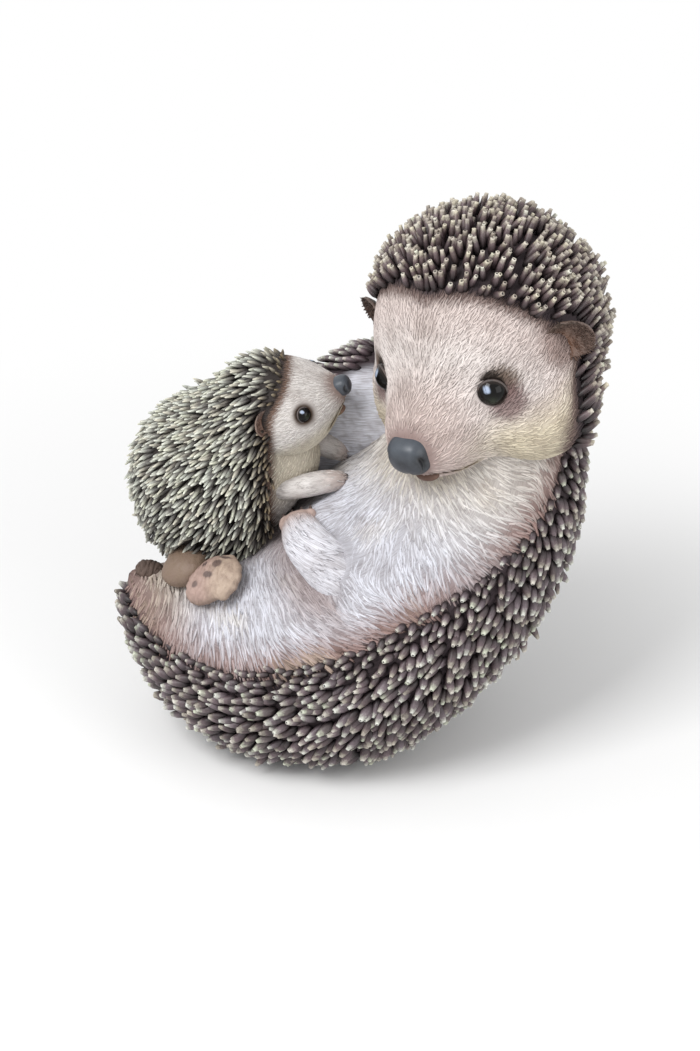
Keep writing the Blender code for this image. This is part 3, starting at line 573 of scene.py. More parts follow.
def skinPaint(name, look):
    # bare painted skin: the attribute's colour, mottled, with a fine leathery bump
    material, tree = newMaterial(name)
    share = mapped(tree, noise(tree, look["mottle"], 4.0, 0.6), 0.4, 0.7, 0.0, look["mottleShare"])
    place = addNode(tree, "TexCoord", {})["Object"]
    pores = addNode(tree, "TexVoronoi", {"Vector": place, "Scale": look["pores"]})["Distance"]
    colour = mixColour(tree, "MIX", share, attribute(tree, "paint", "Color"), rgba(look["mottleCode"]))
    finish(tree, colour, look["roughness"], Strength=look["bump"], Distance=0.0003, Height=pores)
    return material


def glassPaint(name):
    # a glass eye: near black, with the attribute's painted reflections, a dim glow and a glint, under a thin gloss
    material, tree = newMaterial(name)
    depth = noise(tree, 420.0, 2.0)
    dimmed = mixColour(tree, "MULTIPLY", depth, attribute(tree, "paint", "Color"), (0.75, 0.75, 0.8, 1.0))
    finish(tree, dimmed, 0.07, 0.2)
    return material


bellyFur = furPaint("bellyFur", furLook)
faceFur = furPaint("faceFur", faceLook)
babyFur = furPaint("babyFur", babyLook)
motherQuillPaint = quillPaint("motherQuillPaint", quillLook)
babyQuillPaint = quillPaint("babyQuillPaint", babyQuillLook)
pawSkin, noseSkin = skinPaint("pawSkin", pawLook), skinPaint("noseSkin", noseLook)
mother["fur"], mother["glass"] = faceFur, glassPaint("eyeGlass")
baby["fur"], baby["glass"] = babyFur, glassPaint("babyEyeGlass")
print("finishes made")


# Fur: flat tapering strands walked over a surface the way it is combed

def combLocks(surface, first, second, lie, kit, small=0.001, least=0.004):
    # each step moves both parameters by the stride times the lie's cosine and sine over the surface's stretch there
    stride = kit["length"] * rng.uniform(0.7, 1.25, len(first)) / (kit["steps"] - 1)
    bend = rng.normal(0, math.radians(kit["scatter"]), len(first))
    paths, normals = [], []
    for _ in range(kit["steps"]):
        point = surface(first, second)
        along = (surface(first + small, second) - point) / small
        around = (surface(first, second + small) - point) / small
        paths.append(point)
        normals.append(unit(np.cross(around, along)))
        turn = lie(first, second) + bend
        first = first + stride * np.cos(turn) / np.maximum(lengthOf(along), least)
        second = second + stride * np.sin(turn) / np.maximum(lengthOf(around), least)
    return np.stack(paths, 1), np.stack(normals, 1)


def straight(first, second):
    return 0.0 * first


def buildLocks(name, paths, normals, tints, kit, material):
    # rings of a left edge, a ridge, a right edge and a keel under the skin, between a root point and a tip point
    count, steps = paths.shape[:2]
    rows, sides = steps - 2, 4
    share = np.arange(steps) / (steps - 1)
    swell = np.sin(np.pi * share ** 0.75) ** 0.7
    side = unit(np.cross(unit(np.gradient(paths, axis=1)), normals))
    width = kit["width"] / 2 * rng.uniform(0.75, 1.25, count)[:, None] * swell
    height = kit["height"] * rng.uniform(0.7, 1.2, count)[:, None] * (0.25 + swell * 0.75 + kit["lift"] * share ** 2)
    ridge = paths + normals * height[..., None]
    keel = paths - normals * (kit["height"] * 1.2)
    low = paths - normals * (kit["height"] * 0.15)
    reach = side * width[..., None]
    rings = np.stack([low - reach, ridge, low + reach, keel], 2)[:, 1:-1].reshape(count, -1, 3)
    root = paths[:, :1] - normals[:, :1] * kit["height"]
    points = np.concatenate([rings, root, ridge[:, -1:]], 1)
    dark = (np.append(np.tile((0.75, 0.0, 0.75, 1.0), rows), (1.0, 0.0)) * kit["dark"])[:, None]
    tone = (tints * (1 + rng.normal(0, 0.05, (count, 1))))[:, None]
    colour = tone * (1 - dark) + tone * paint(kit["darkCode"]) * dark
    run = np.append(np.repeat(share[1:-1], sides), (0.0, 1.0)) * kit["length"]
    offset = rng.uniform(0, 9, (count, 1))
    spread = np.append(np.tile((-1.0, 0.0, 1.0, 0.0), rows), (0.0, 0.0)) * kit["width"] / 2
    flow = np.stack([run + offset, spread + 0.37 * offset, offset + 0 * run], -1)
    linkCopies(name, points, paths[:, 0], rows, sides, material, {
        "paint": np.clip(colour, 0, 1).reshape(-1, 3), "flow": flow.reshape(-1, 3),
        "groove": np.ones(points.size // 3)})


def undercoat(colour, share, kit):  # the skin's colour between the strands, washed toward the grooves' paint
    return colour * (1 - share + share * paint(kit["darkCode"]))


# Mother's torso skin

arm = {
    "places": ((0.522, 27, -0.017), (0.502, 19, -0.0045), (0.481, 12, 0.005), (0.460, 4, 0.0088), (0.449, -8, 0.007)),
    "radii": (0.0085, 0.0112, 0.0108, 0.0096, 0.0070), "rows": 120, "columns": 96, "coarseRows": 60, "coarseStart": 22,
    "swell": 0.0016, "swellReach": 0.004, "rootSwell": 0.0040, "rootSwellReach": 0.0065,
}
torsoPaint = {"fur": "dfe1ea", "cream": "ddd1b9", "edge": "a0857f", "coat": "41363a", "shade": "8d8280",
              "armShade": "a3928f", "yellow": "cfc39c"}
furLocks = {"length": 0.0100, "width": 0.00170, "height": 0.00036, "lift": 0.35, "steps": 6, "scatter": 9,
            "dark": 0.5, "darkCode": "8c8182", "rowSpacing": 0.0023, "spacing": 0.0017, "undercoat": 0.25}
# share of the torso, degrees round from the belly's middle, and the fur's lie: 0 to the neck, 90 to the near side
combs = np.array((
    (0.64, -14, -160), (0.69, -1, 170), (0.69, 12, 160), (0.74, 9, 145), (0.78, 14, 130), (0.79, 24, 125),
    (0.81, 35, 120), (0.82, 46, 100), (0.85, 60, 90), (0.78, 58, 90), (0.76, 40, 110), (0.71, 33, 120),
    (0.66, 27, 140), (0.62, 9, 155), (0.60, 23, 145), (0.52, 29, 85), (0.54, 41, 45), (0.61, 38, 115),
    (0.58, 44, 80), (0.66, 46, 130), (0.75, 53, 100), (0.23, -20, 140), (0.36, -11, 125), (0.39, 13, 70),
    (0.26, 14, 80), (0.31, 30, 75), (0.45, 45, 45), (0.37, 47, 40), (0.27, 51, 70), (0.54, 52, 40),
    (0.09, 45, 65), (0.16, 53, 70), (0.10, 77, 75), (0.88, 74, 140), (0.75, -7, 165), (0.30, -35, 165),
    (0.50, -35, 180), (0.35, -70, -100), (0.60, -70, -120), (0.12, -60, -80), (0.85, -70, -110)), float)
combReach = {"along": 0.19, "around": 0.058, "reach": 0.008}


def combLie(share, angle):
    # the combs' directions summed by weight: one over one plus the squared distance over the reach squared, cubed
    along = (share[..., None] - combs[:, 0]) * combReach["along"]
    around = (angle[..., None] - np.radians(combs[:, 1])) * combReach["around"]
    weight = (1 + (along ** 2 + around ** 2) / combReach["reach"] ** 2) ** -3.0
    turn = np.radians(combs[:, 2])
    return np.arctan2((weight * np.sin(turn)).sum(axis=-1), (weight * np.cos(turn)).sum(axis=-1))


armPlaces = [torsoPlace(place) for place in arm["places"]]
armPath = smoothPath(armPlaces, arm["coarseRows"])[arm["coarseStart"]:]
armRadii = smoothRadii(arm["radii"], arm["coarseRows"])[arm["coarseStart"]:]


def armDistance(points):  # how far points are from the skin of the forearm's free part
    return (lengthOf(points[..., None, :] - armPath) - armRadii).min(axis=-1)


def armSwell(gap, share):  # how far the belly rises toward the forearm, most of all round its root
    gap = np.clip(gap, 0, 1)
    root = arm["rootSwell"] * np.exp(-gap / arm["rootSwellReach"]) * ease(share, 0.488, 0.510)
    return arm["swell"] * bell(gap, arm["swellReach"]) + root


def torsoAngles():
    # columns crowd together on the fur: dense within the waist's fur edge, looser to the rump's, sparse behind
    angle = np.radians(np.linspace(-180, 180, 7201))
    weight = np.where(np.abs(angle) < math.radians(58), 1.0, np.where(np.abs(angle) < math.radians(112), 0.5, 0.16))
    total = np.cumsum(weight)
    return np.interp(np.arange(torso["columns"]) / torso["columns"] * total[-1], total, angle)


def torsoTone(points, share, angle):
    # the fur's airbrushing: cream at both ends, pinkish at the edge, and shade round the arm and under the baby
    toEdge = (furEdge(share) - np.abs(angle)) * sum(torsoRadii(share)) / 2
    u, v = unrolled(share, angle)
    patches = smoothNoise(u / 0.021, v / 0.021, 3)
    gap = armDistance(points)
    behind = ease(arm["places"][2][0] - share, -0.01, 0.03)
    look = torsoPaint
    colour = layered(
        plain(look["fur"], points),
        (look["cream"], within(share, 0.17, 0.12) * 0.7 + ease(share, 0.66, 0.86) * 0.5),
        (look["yellow"], ease(share, 0.74, 0.86) * within(np.abs(angle), 0.6, 0.5) * 0.4),
        (look["edge"], within(toEdge, 0.021, 0.021) * (0.95 + 0.3 * patches)),
        (look["edge"], within(share, 0.22, 0.16) * within(toEdge, 0.034, 0.024) * 0.6),
        (look["cream"], ease(patches, 0.25, 0.8) * 0.35),
        (look["shade"], within(babyClearance(points), 0.013, 0.013) * 0.9),
        (look["armShade"], within(gap, 0.010 + 0.014 * behind, 0.010 + 0.012 * behind) * (0.2 + 0.6 * behind)),
        (look["fur"], within(gap, 0.016, 0.012) * ease(share, 0.486, 0.505) * 0.95))
    return colour, toEdge, gap


def swells(share, angle, height=0.0011, width=0.020):  # the belly's shallow rises and dips
    u, v = unrolled(share, angle)
    return height * smoothNoise(u / width, v / width, 8)


def buildTorso():
    share = np.linspace(0, 1, torso["rows"] + 2)[1:-1]
    share = 0.25 * (1 - np.cos(np.pi * share)) / 2 + 0.75 * share
    s, a = np.broadcast_arrays(share[:, None], torsoAngles())
    points = torsoPoint(s, a)
    poles = np.stack([torsoFrame(0.0)[0], torsoFrame(1.0)[0]])
    normal = gridNormals(points, poles)
    colour, toEdge, fromArm = torsoTone(points, s, a)
    fur = ease(toEdge, -0.002, 0.002)
    height = fur * (swells(s, a) + armSwell(fromArm, s) - 0.0002) - (1 - fur) * 0.0004
    points = points + normal * height[..., None]
    points[..., 2] = np.maximum(points[..., 2], 0.0)
    pocket = (points[..., 2] <= 0) & (np.hypot(points[..., 0] - torso["plugX"], points[..., 1]) < torso["plugPocket"])
    points[..., 2] = np.where(pocket, torso["plugPocketDepth"], points[..., 2])
    colour = undercoat(colour, furLocks["undercoat"], furLocks)
    colour = layered(colour, (torsoPaint["coat"], 1 - ease(toEdge, -0.004, 0.001)))
    u, v = unrolled(s, a)
    gridPiece("mother_torso_skin", points, poles, bellyFur,
              {"paint": colour, "flow": np.stack([u, v, 0 * v], -1), "groove": 1 - 0.5 * fur},
              ["mother_body"])
    print("torso skin", points.shape[:2], "points")


def furOnTorso(share, angle):  # the torso's skin with the same swells as its mesh
    points = torsoPoint(share, angle)
    lift = swells(share, angle) - 0.0003 + 0.9 * armSwell(armDistance(points), share)
    return points + unit(points - torsoFrame(share)[0]) * lift[..., None]


def torsoLocks():
    shares, angles = [], []
    rows = int(torso["length"] / furLocks["rowSpacing"])
    for row in range(rows):
        share = 0.012 + 0.965 * (row + 0.5) / rows
        edge = float(furEdge(share))
        count = max(int(2 * edge * sum(torsoRadii(share)) / 2 / furLocks["spacing"]), 3)
        angles.append(edge * (2 * (np.arange(count) + rng.uniform(0, 1, count)) / count - 1))
        shares.append(share + rng.uniform(-0.6, 0.6, count) / rows)
    share, angle = np.clip(np.concatenate(shares), 0.01, 0.985), np.concatenate(angles)
    base = torsoPoint(share, angle)
    keep = (babyClearance(base) > -0.004) & (headClearance(base) > -0.006)
    share, angle, base = share[keep], angle[keep], base[keep]
    paths, normals = combLocks(furOnTorso, share, angle, combLie, furLocks)
    tints = torsoTone(base, share, angle)[0]
    buildLocks("mother_belly_fur", paths, normals, tints, furLocks, bellyFur)


buildTorso()
torsoLocks()


# Quills: a seed-shaped shaft with a rim and a small pit at its tip, copied over each coat

def buildQuills(name, kit, parts, material, slot, use=slice(None)):
    # the parts hold each quill's base, axis, normal, length, radius and tint
    # a ring's middle is base + axis x length x share - upward x bend x length x share squared
    bases, axes, normals, lengths, radii, tints = (part[use] for part in parts)
    sides, tipShare = kit["sides"], kit["tipShare"]
    along = np.array((0.0, 0.2, 0.45, 0.72, 0.92, 1.0, 1.015))
    widths = np.array((0.62, 0.95, 1.0, 0.82, (0.6 + tipShare) / 2, tipShare, tipShare * 0.62))
    tips = np.array((0.0, 0.25, 0.5, 0.75, 0.95, 1.12, 1.2))
    sideways = unit(np.cross(axes, normals))
    upward = np.cross(sideways, axes)

    def middle(share):
        sag = kit["bend"] * lengths[:, None] * share ** 2
        reach = lengths[:, None] * share
        return bases[:, None] + axes[:, None] * reach[..., None] - upward[:, None] * sag[..., None]
    turn = wholeTurn(sides)[:, None]
    around = np.cos(turn) * sideways[:, None, None] + np.sin(turn) * upward[:, None, None]
    body = middle(along)[:, :, None] + (radii[:, None] * widths)[..., None, None] * around
    first = bases - axes * (0.1 * lengths)[:, None]
    last = middle(np.array([1.0 - kit["pit"]]))
    points = np.concatenate([body.reshape(len(bases), -1, 3), first[:, None], last], axis=1)
    tip = np.append(np.repeat(tips, sides), (0.0, 1.6 if kit["pit"] > 0 else 1.2))
    attributes = {"tip": np.tile(tip, len(bases)), "paint": np.repeat(tints, points.shape[1], axis=0)}
    linkCopies(name, points, bases, len(along), sides, material, attributes)


def leaning(flow, normal, rise, spread):
    # each axis stands up from the skin by its rise and follows the flow, with a little scatter
    scatter = rng.normal(0, spread, flow.shape)
    rise = np.broadcast_to(rise, flow.shape[:-1])[:, None]
    return unit(flow * np.cos(rise) + normal * np.sin(rise) + scatter)


def tinted(count, codes, spread=0.07):
    # each quill's multiplying tint: one of the paints, a little lighter or darker
    pick = np.array([paint(code) for code in codes])[rng.integers(0, len(codes), count)]
    return np.clip(pick * (1 + rng.normal(0, spread, (count, 1))), 0, 1)


coat = {"rows": 60, "start": 0.025, "span": 0.955, "spacing": 0.0042, "length": 0.0085, "radius": 0.00212, "rise": 36,
        "tipShare": 0.42, "scatter": 0.2, "sides": 7, "pit": 0.035, "bend": 0.12, "farSide": 0.012,
        "codes": ("ffffff", "f3ecea", "dcd5d2", "eef2e6", "cfc6c0")}


def torsoQuills():
    angles, shares = [], []
    for row in range(coat["rows"]):
        share = coat["start"] + coat["span"] * (row + 0.5) / coat["rows"]
        edge = float(furEdge(share)) + 0.02
        free = 2 * math.pi - 2 * edge
        count = max(int(free * sum(torsoRadii(share)) / 2 / coat["spacing"]), 2)
        angles.append(edge + free * (np.arange(count) + 0.5 + rng.uniform(-0.25, 0.25, count)) / count)
        shares.append(share + rng.uniform(-0.3, 0.3, count) * coat["span"] / coat["rows"])
    angle, share = np.concatenate(angles), np.clip(np.concatenate(shares), 0.012, 0.985)
    base, small = torsoPoint(share, angle), 0.002
    ahead = unit(torsoPoint(share + small, angle) - torsoPoint(share - small, angle))
    around = unit(torsoPoint(share, angle + small) - torsoPoint(share, angle - small))
    normal = unit(np.cross(around, ahead))
    inward = np.sum(normal * (base - torsoFrame(share)[0]), -1, keepdims=True) < 0
    normal = np.where(inward, -normal, normal)
    fromEdge = np.minimum(angle, 2 * math.pi - angle) - furEdge(share)
    outward = np.where(angle < math.pi, 1.0, -1.0)[:, None] * around
    drop = 0.12 + 0.85 * ease(fromEdge, 0.35, 1.1) * bell(share - 0.42, 0.25)
    grown = ease(fromEdge, 0.0, 0.4)
    rise = np.radians(coat["rise"] + 6 * ease(fromEdge, 0.5, 1.4))
    axis = leaning(unit(-ahead + drop[:, None] * outward), normal, rise, coat["scatter"])
    length = coat["length"] * (0.62 + 0.38 * grown) * rng.uniform(0.80, 1.16, len(base))
    radius = coat["radius"] * (0.80 + 0.20 * grown) * rng.uniform(0.80, 1.14, len(base))
    tip = base + axis * length[:, None]
    keep = (tip[:, 2] > 0.0022) & (base[:, 2] > 0.0035) & (headClearance(base) > 0.002)
    keep &= formDistance(base - shoulderPlace, shoulderForm, shoulder["blend"]) > -0.001
    keep &= babyClearance(tip) > 0.001
    tint = tinted(len(base), coat["codes"], 0.12)
    dull = 0.12 * (1 - grown) + 0.2 * within(share, 0.2, 0.15)
    dull = dull + 0.12 * within(share, 0.6, 0.3) * within(fromEdge, 0.8, 0.5)
    parts = base - normal * 0.0006, axis, normal, length, radius, tint * (1 - dull)[:, None]
    near = base[:, 1] < coat["farSide"]
    buildQuills("mother_coat_near", coat, parts, motherQuillPaint, "body_finish", keep & near)
    buildQuills("mother_coat_far", coat, parts, motherQuillPaint, "body_finish", keep & ~near)


torsoQuills()

cap = {"count": 3000, "share": 0.72, "length": 0.0088, "radius": 0.00152, "rise": 60, "tipShare": 0.64, "scatter": 0.18,
       "sides": 8, "pit": 0.07, "bend": 0.05, "codes": ("f4ece6", "e4dad2", "d0c5c0", "f2e8da", "c4b7b0"),
       "edgeTurns": (0, 69, 80, 94, 100, 105, 109, 115, 127, 138, 150),
       "edgeAngles": (55, 75, 79, 84, 79, 72, 67, 63, 61, 72, 95), "earGap": 0.0085, "earBack": 0.006}


def pastBrow(local):
    # how far round the head points lie past the cap's edge, which runs over the brow, behind the ears and
    # forward again over the cheeks, in radians from the face
    around = np.degrees(np.arctan2(np.abs(local[..., 0]), local[..., 2]))
    fromFace = np.arccos(np.clip(-local[..., 1] / lengthOf(local), -1, 1))
    return fromFace - np.radians(np.interp(around, cap["edgeTurns"], cap["edgeAngles"]))


def capQuills():
    local = formSkin(evenDirections(cap["count"]), mother["form"], mother["blend"])
    local = local + rng.normal(0, 0.0006, local.shape)
    past = pastBrow(local)
    normal = formNormal(local, mother["form"], mother["blend"])
    base = moved(local, mother["matrix"])
    keep = (past > 0.0) & (torsoClearance(base) > 0.0)
    earGap = np.minimum(*[lengthOf(local - onHead(mother, "earDirection", side, 0.0)) for side in (1, -1)])
    keep &= (earGap > cap["earGap"]) | (local[:, 1] > cap["earBack"])
    side = ease(np.abs(local[:, 0]), 0.030, 0.044) * within(local[:, 2], 0.02, 0.02)
    keep &= (rng.uniform(0, 1, len(local)) < cap["share"]) | (side > 0.3)
    flow = unit(across(np.array((0.0, 1.0, 0.0)), normal))
    axis = leaning(flow, normal, np.radians(cap["rise"] - 30 * side), cap["scatter"])
    length = cap["length"] * rng.uniform(0.82, 1.12, len(base)) * (0.8 + 0.2 * ease(past, 0.0, 0.25))
    length = length * (1 + 0.3 * side)
    radius = cap["radius"] * rng.uniform(0.86, 1.12, len(base))
    axis, normal = turnedOnly(axis, mother["matrix"]), turnedOnly(normal, mother["matrix"])
    parts = base, axis, normal, length, radius, tinted(len(base), cap["codes"], 0.09)
    buildQuills("mother_cap", cap, parts, motherQuillPaint, "head_finish", keep)


capQuills()

shoulderCoat = {"count": 620, "length": 0.0080, "radius": 0.00155, "rise": 38, "lie": (-1.0, 0.15, -0.1),
                "scatter": 0.1, "sides": 7, "tipShare": 0.4, "pit": 0.035, "bend": 0.12,
                "codes": ("ffffff", "eef0ea", "efe4e6")}


def shoulderPiece():
    directions = np.roll(ballDirections(shoulder["rows"], shoulder["columns"]), 1, axis=-1)
    points = formSkin(directions, shoulderForm, shoulder["blend"]) + shoulderPlace
    poles = endPoles(points)
    u, v = points[..., 0], points[..., 2] + points[..., 1] * 0.5
    locks = strands(u, v, 0.016, 0.0042, 21)
    points = points + gridNormals(points, poles) * (0.0008 * locks)[..., None]
    edge = shoulderPlace[1] + shoulder["coatEdge"]
    inCoat = 1 - ease(edge - points[..., 1], -0.004, 0.003)
    colour = layered(plain(torsoPaint["fur"], points), (torsoPaint["coat"], inCoat))
    gridPiece("mother_far_shoulder", points, poles, bellyFur,
              {"paint": colour, "flow": np.stack([u, v, 0 * u], -1), "groove": ease(locks, 0, 0.45)})
    local = formSkin(evenDirections(shoulderCoat["count"]), shoulderForm, shoulder["blend"])
    normal = formNormal(local, shoulderForm, shoulder["blend"])
    base = local + shoulderPlace
    flow = unit(across(np.array(shoulderCoat["lie"]), normal))
    axis = leaning(flow, normal, math.radians(shoulderCoat["rise"]), shoulderCoat["scatter"])
    tip = base + axis * shoulderCoat["length"]
    keep = (base[:, 1] > edge) & (torsoClearance(base) > 0.0) & (headClearance(base) > 0.002)
    keep &= (lengthOf(tip - babyHeadPlace) > baby["skull"] + 0.004) & (babyClearance(tip) > 0.003)
    count = int(keep.sum())
    parts = (base[keep], axis[keep], normal[keep], shoulderCoat["length"] * rng.uniform(0.85, 1.1, count),
             shoulderCoat["radius"] * rng.uniform(0.9, 1.1, count), tinted(count, shoulderCoat["codes"]))
    buildQuills("mother_shoulder_coat", shoulderCoat, parts, motherQuillPaint, "body_finish")


shoulderPiece()


# Heads: a skin on rays from inside the head, airbrushed, with fur combed back from the nose

def polarGrid(kit, denseTo, denseShare=0.86):
    # rows of polar angle from the muzzle's axis, most of them on the face, and columns round it from the crown
    steps = (np.arange(kit["rows"]) + 0.6) / kit["rows"]
    behind = denseTo + (steps - denseShare) / (1 - denseShare) * (math.pi - 0.01 - denseTo)
    polar = np.where(steps < denseShare, steps / denseShare * denseTo, behind)
    return np.broadcast_arrays(polar[:, None], wholeTurn(kit["columns"]) - np.pi)


def raySurface(form, blend, centre, axis):
    # a skin as a function of the angle off the axis and the angle round it from the crown
    axis = unit(np.array(axis))
    left = np.array((1.0, 0.0, 0.0))
    crown = unit(np.cross(left, axis))
    crown = crown if crown[2] > 0 else -crown

    def surface(polar, turn):
        aside = np.cos(turn)[..., None] * crown + np.sin(turn)[..., None] * left
        return formSkin(np.cos(polar)[..., None] * axis + np.sin(polar)[..., None] * aside, form, blend, centre)
    return surface


def spiralPlaces(count, widest):  # evenly spread (polar, turn) places from the axis to the widest angle
    k = np.arange(count) + 0.5
    return np.arccos(1 - (1 - math.cos(widest)) * k / count), (math.pi * (1 + 5 ** 0.5) * k) % (2 * math.pi)


def buildHead(kit, tone, locks, nodes=()):
    # the tone gives the paint, the relief and how far points lie past the coat's edge
    axis = (0.0, -kit["muzzleLength"], -kit["muzzleDrop"])
    surface = raySurface(kit["form"], kit["blend"], kit["centre"], axis)
    polar, turn = polarGrid(kit, math.radians(kit["denseTo"]))
    local = surface(polar, turn)
    poles = endPoles(local)
    normal = gridNormals(local, poles)
    colour, height, past = tone(local)
    local = local + normal * (height - kit["sink"])[..., None]
    flow = np.stack([lengthOf(local - poles[0]), turn * kit["flowWidth"], 0 * turn], -1)
    gridPiece(kit["owner"] + "_head_skin", local, poles, kit["fur"],
              {"paint": undercoat(colour, kit["undercoat"], locks), "flow": flow, "groove": 0.6 + 0 * turn},
              nodes, kit["matrix"])
    first, second = spiralPlaces(locks["count"], math.radians(kit["furTo"]))
    base = surface(first, second)
    keep = (tone(base)[2] < kit["furPast"]) & (torsoClearance(moved(base, kit["matrix"])) > -0.002)
    keep &= lengthOf(base - np.array(kit["nose"]["place"])) > kit["noseClear"]
    paths, normals = combLocks(surface, first[keep], second[keep],
                               lambda polar, turn: kit["swirl"] * np.sin(3 * turn), locks)
    clear = np.ones(len(paths), bool)
    for side in (1, -1):
        clear &= lengthOf(paths - eyeMiddle(kit, side)).min(axis=1) > kit["eyeClear"]
    paths, normals = paths[clear], normals[clear]
    buildLocks(kit["owner"] + "_face_fur", moved(paths, kit["matrix"]), turnedOnly(normals, kit["matrix"]),
               tone(paths[:, 2])[0], locks, kit["fur"])


# the face's paints; the two at each eye's outer corner and below it are painted shade
facePaint = {"fur": "e4dcd8", "pink": "d8c5be", "cream": "e4dac0", "nose": "a58b86", "brow": "7b6862", "lid": "45403f",
             "corner": "2e231b", "eyeSideShade": "5f4a38", "underEyeShade": "836a68", "olive": "9c9168", "ear": "9a8078",
             "mouth": "54432f", "headRadius": 0.048, "eyeSideShadeAt": (0.0065, 0.0, 0.0035),
             "underEyeShadeAt": (0.0060, 0.0, -0.0060), "cornerAt": (0.0022, 0.0, 0.0052), "oliveFrom": 36,
             "oliveDrop": (0.0, 0.0, 0.001)}
faceLocks = {"length": 0.0052, "width": 0.00105, "height": 0.00022, "lift": 0.3, "steps": 5, "scatter": 13,
             "dark": 0.36, "darkCode": "8d8283", "count": 9000}


def motherTone(local):
    # the face's airbrushing and its relief: sockets, eye corners, muzzle, smile, cheeks and brow, with painted shade
    # beside and under each eye
    look, height = facePaint, 0.0
    toNose = lengthOf(local - np.array(mother["nose"]["place"]))
    past = pastBrow(local) * look["headRadius"]
    cheek = ease(np.abs(local[..., 0]), 0.014, 0.034) * ease(-0.004 - local[..., 2], 0.0, 0.018)
    colour = layered(
        plain(look["fur"], local),
        (look["pink"], within(toNose, 0.045, 0.03) * 0.8 + ease(past, -0.03, -0.008) * 0.5),
        (look["cream"], cheek * 0.9), (look["nose"], within(toNose, 0.0165, 0.008) * 0.85))
    for side in (1, -1):
        apart = local - eyeMiddle(mother, side)
        gap = lengthOf(apart)
        outer, below, upper = (lengthOf(apart - np.array(look[spot]) * (side, 1, 1))
                               for spot in ("eyeSideShadeAt", "underEyeShadeAt", "cornerAt"))
        smile, line = mouthLine(mother, local, side)
        besideSmile = pathGap(local, smile[look["oliveFrom"]:] - np.array(look["oliveDrop"]))
        toEar = lengthOf(local - onHead(mother, "earDirection", side, 0.0))
        colour = layered(
            # painted shade beside the outer corner of each eye and under it
            colour, (look["eyeSideShade"], within(outer, 0.0120, 0.007) * 0.9),
            (look["underEyeShade"], within(below, 0.0120, 0.007) * 0.85),
            (look["corner"], ease(0.0050 - upper, -0.0012, 0.0012) + within(gap, 0.0077, 0.001)),
            (look["olive"], within(besideSmile, 0.0055, 0.005) * 0.6), (look["mouth"], bell(line, 0.0009) * 0.9),
            (look["ear"], within(toEar, 0.017, 0.008) * 0.7))
        height = height - 0.0001 * bell(gap - 0.0096, 0.0020) - 0.004 * within(gap, 0.0072, 0.0010)
        height = height - 0.0012 * bell(line, 0.0008)
    colour = layered(colour, (look["brow"], ease(past, -0.007, 0.0)), (torsoPaint["coat"], ease(past, -0.001, 0.003)))
    return colour, height, past


buildHead(mother, motherTone, faceLocks, ["mother_head"])


def ballPiece(name, kit, matrix, material, shape=None, nodes=()):
    # a ball whose radius is the ellipsoid's, squared off by the power; the shape gives the added size and the paint
    directions = ballDirections(kit["rows"], kit["columns"])
    size = (np.abs(directions) ** (2 / kit["power"])).sum(axis=-1) ** (-kit["power"] / 2)
    tone = plain(kit["code"], directions)
    if shape:
        added, tone = shape(directions, tone)
        size = size + added
    points = np.array(kit["place"]) + directions * size[..., None] * np.array(kit["radii"])
    gridPiece(name, points, endPoles(points), material, {"paint": tone}, nodes, matrix)


# the top's paler paint on the nose is a painted highlight
noseShape = {"top": "3d434b", "pit": "0c0c0d", "slitTurn": 60, "slitWidth": 8, "slitRise": 6, "slitBend": 0.012}
lip = {"place": (0.0024, -0.0724, -0.0230), "radii": (0.0060, 0.0036, 0.0025), "code": "5c4033", "power": 1.0,
       "rows": 40, "columns": 64}


def noseTone(directions, tone):
    # a comma slit on each side, a groove under the middle, and a top made paler by a painted highlight
    turn = np.degrees(np.arctan2(np.abs(directions[..., 0]), -directions[..., 1]))
    rise = np.degrees(np.arcsin(np.clip(directions[..., 2], -1, 1)))
    up = rise + noseShape["slitRise"]
    bent = turn - noseShape["slitTurn"] + noseShape["slitBend"] * up ** 2
    slit = np.exp(-(bent / noseShape["slitWidth"]) ** 2 - (up / 24) ** 4)
    rim = np.exp(-((bent + 15) / 7) ** 2 - (up / 26) ** 4)
    groove = bell(turn, 7) * ease(-rise, 25, 45)
    tone = layered(tone, (noseShape["top"], ease(directions[..., 2], 0.1, 0.8) * 0.8),
                   (noseShape["pit"], slit * 1.1 + groove * 0.5))
    return 0.035 * rim - 0.20 * slit - 0.10 * groove, tone


ballPiece("mother_nose", mother["nose"], mother["matrix"], noseSkin, noseTone)
ballPiece("mother_lip", lip, mother["matrix"], pawSkin)

lid = {"wide": 72, "tall": 68, "steps": 96, "sides": 14}


def lidRing(kit, name, centre, towards):
    # a round lip carried along an oval on the eyeball: wide and tall as angles from its middle
    crown = unit(across(np.array((0.0, 0.0, 1.0)), towards))
    side = np.cross(crown, towards)
    turn, around = wholeTurn(lid["steps"])[:, None], wholeTurn(lid["sides"])[None, :, None]
    tilt = np.hypot(np.cos(turn) * math.radians(lid["tall"]), np.sin(turn) * math.radians(lid["wide"]))
    rim = towards * np.cos(tilt) + (side * np.cos(turn) + crown * np.sin(turn)) * np.sin(tilt)
    outer = unit(np.cross(rim, np.roll(rim, -1, axis=0) - np.roll(rim, 1, axis=0)))
    offset = np.cos(around) * rim[:, None] + np.sin(around) * outer[:, None]
    points = np.array(centre) + rim[:, None] * kit["eyeRadius"] + offset * kit["lidThick"]
    flat = moved(points.reshape(-1, 3), kit["matrix"])
    quads = gridQuads(lid["steps"], lid["sides"], lid["steps"])
    faces = facingOut(flat - flat.mean(axis=0), quads, quads[:0, :3])
    linkMesh(name, flat, faces, pawSkin, {"paint": plain(facePaint["lid"], flat)})


# the painted reflections on each eye: a window-shaped glint crossed by a bar, and a dim glow low down
glint = {"code": "b9c8de", "glow": "39402f", "rim": "2b2420", "place": (-0.16, 0.62), "glowPlace": (-0.05, -0.20),
         "wide": 0.27, "tall": 0.25, "bar": -0.07, "barWidth": 0.02}


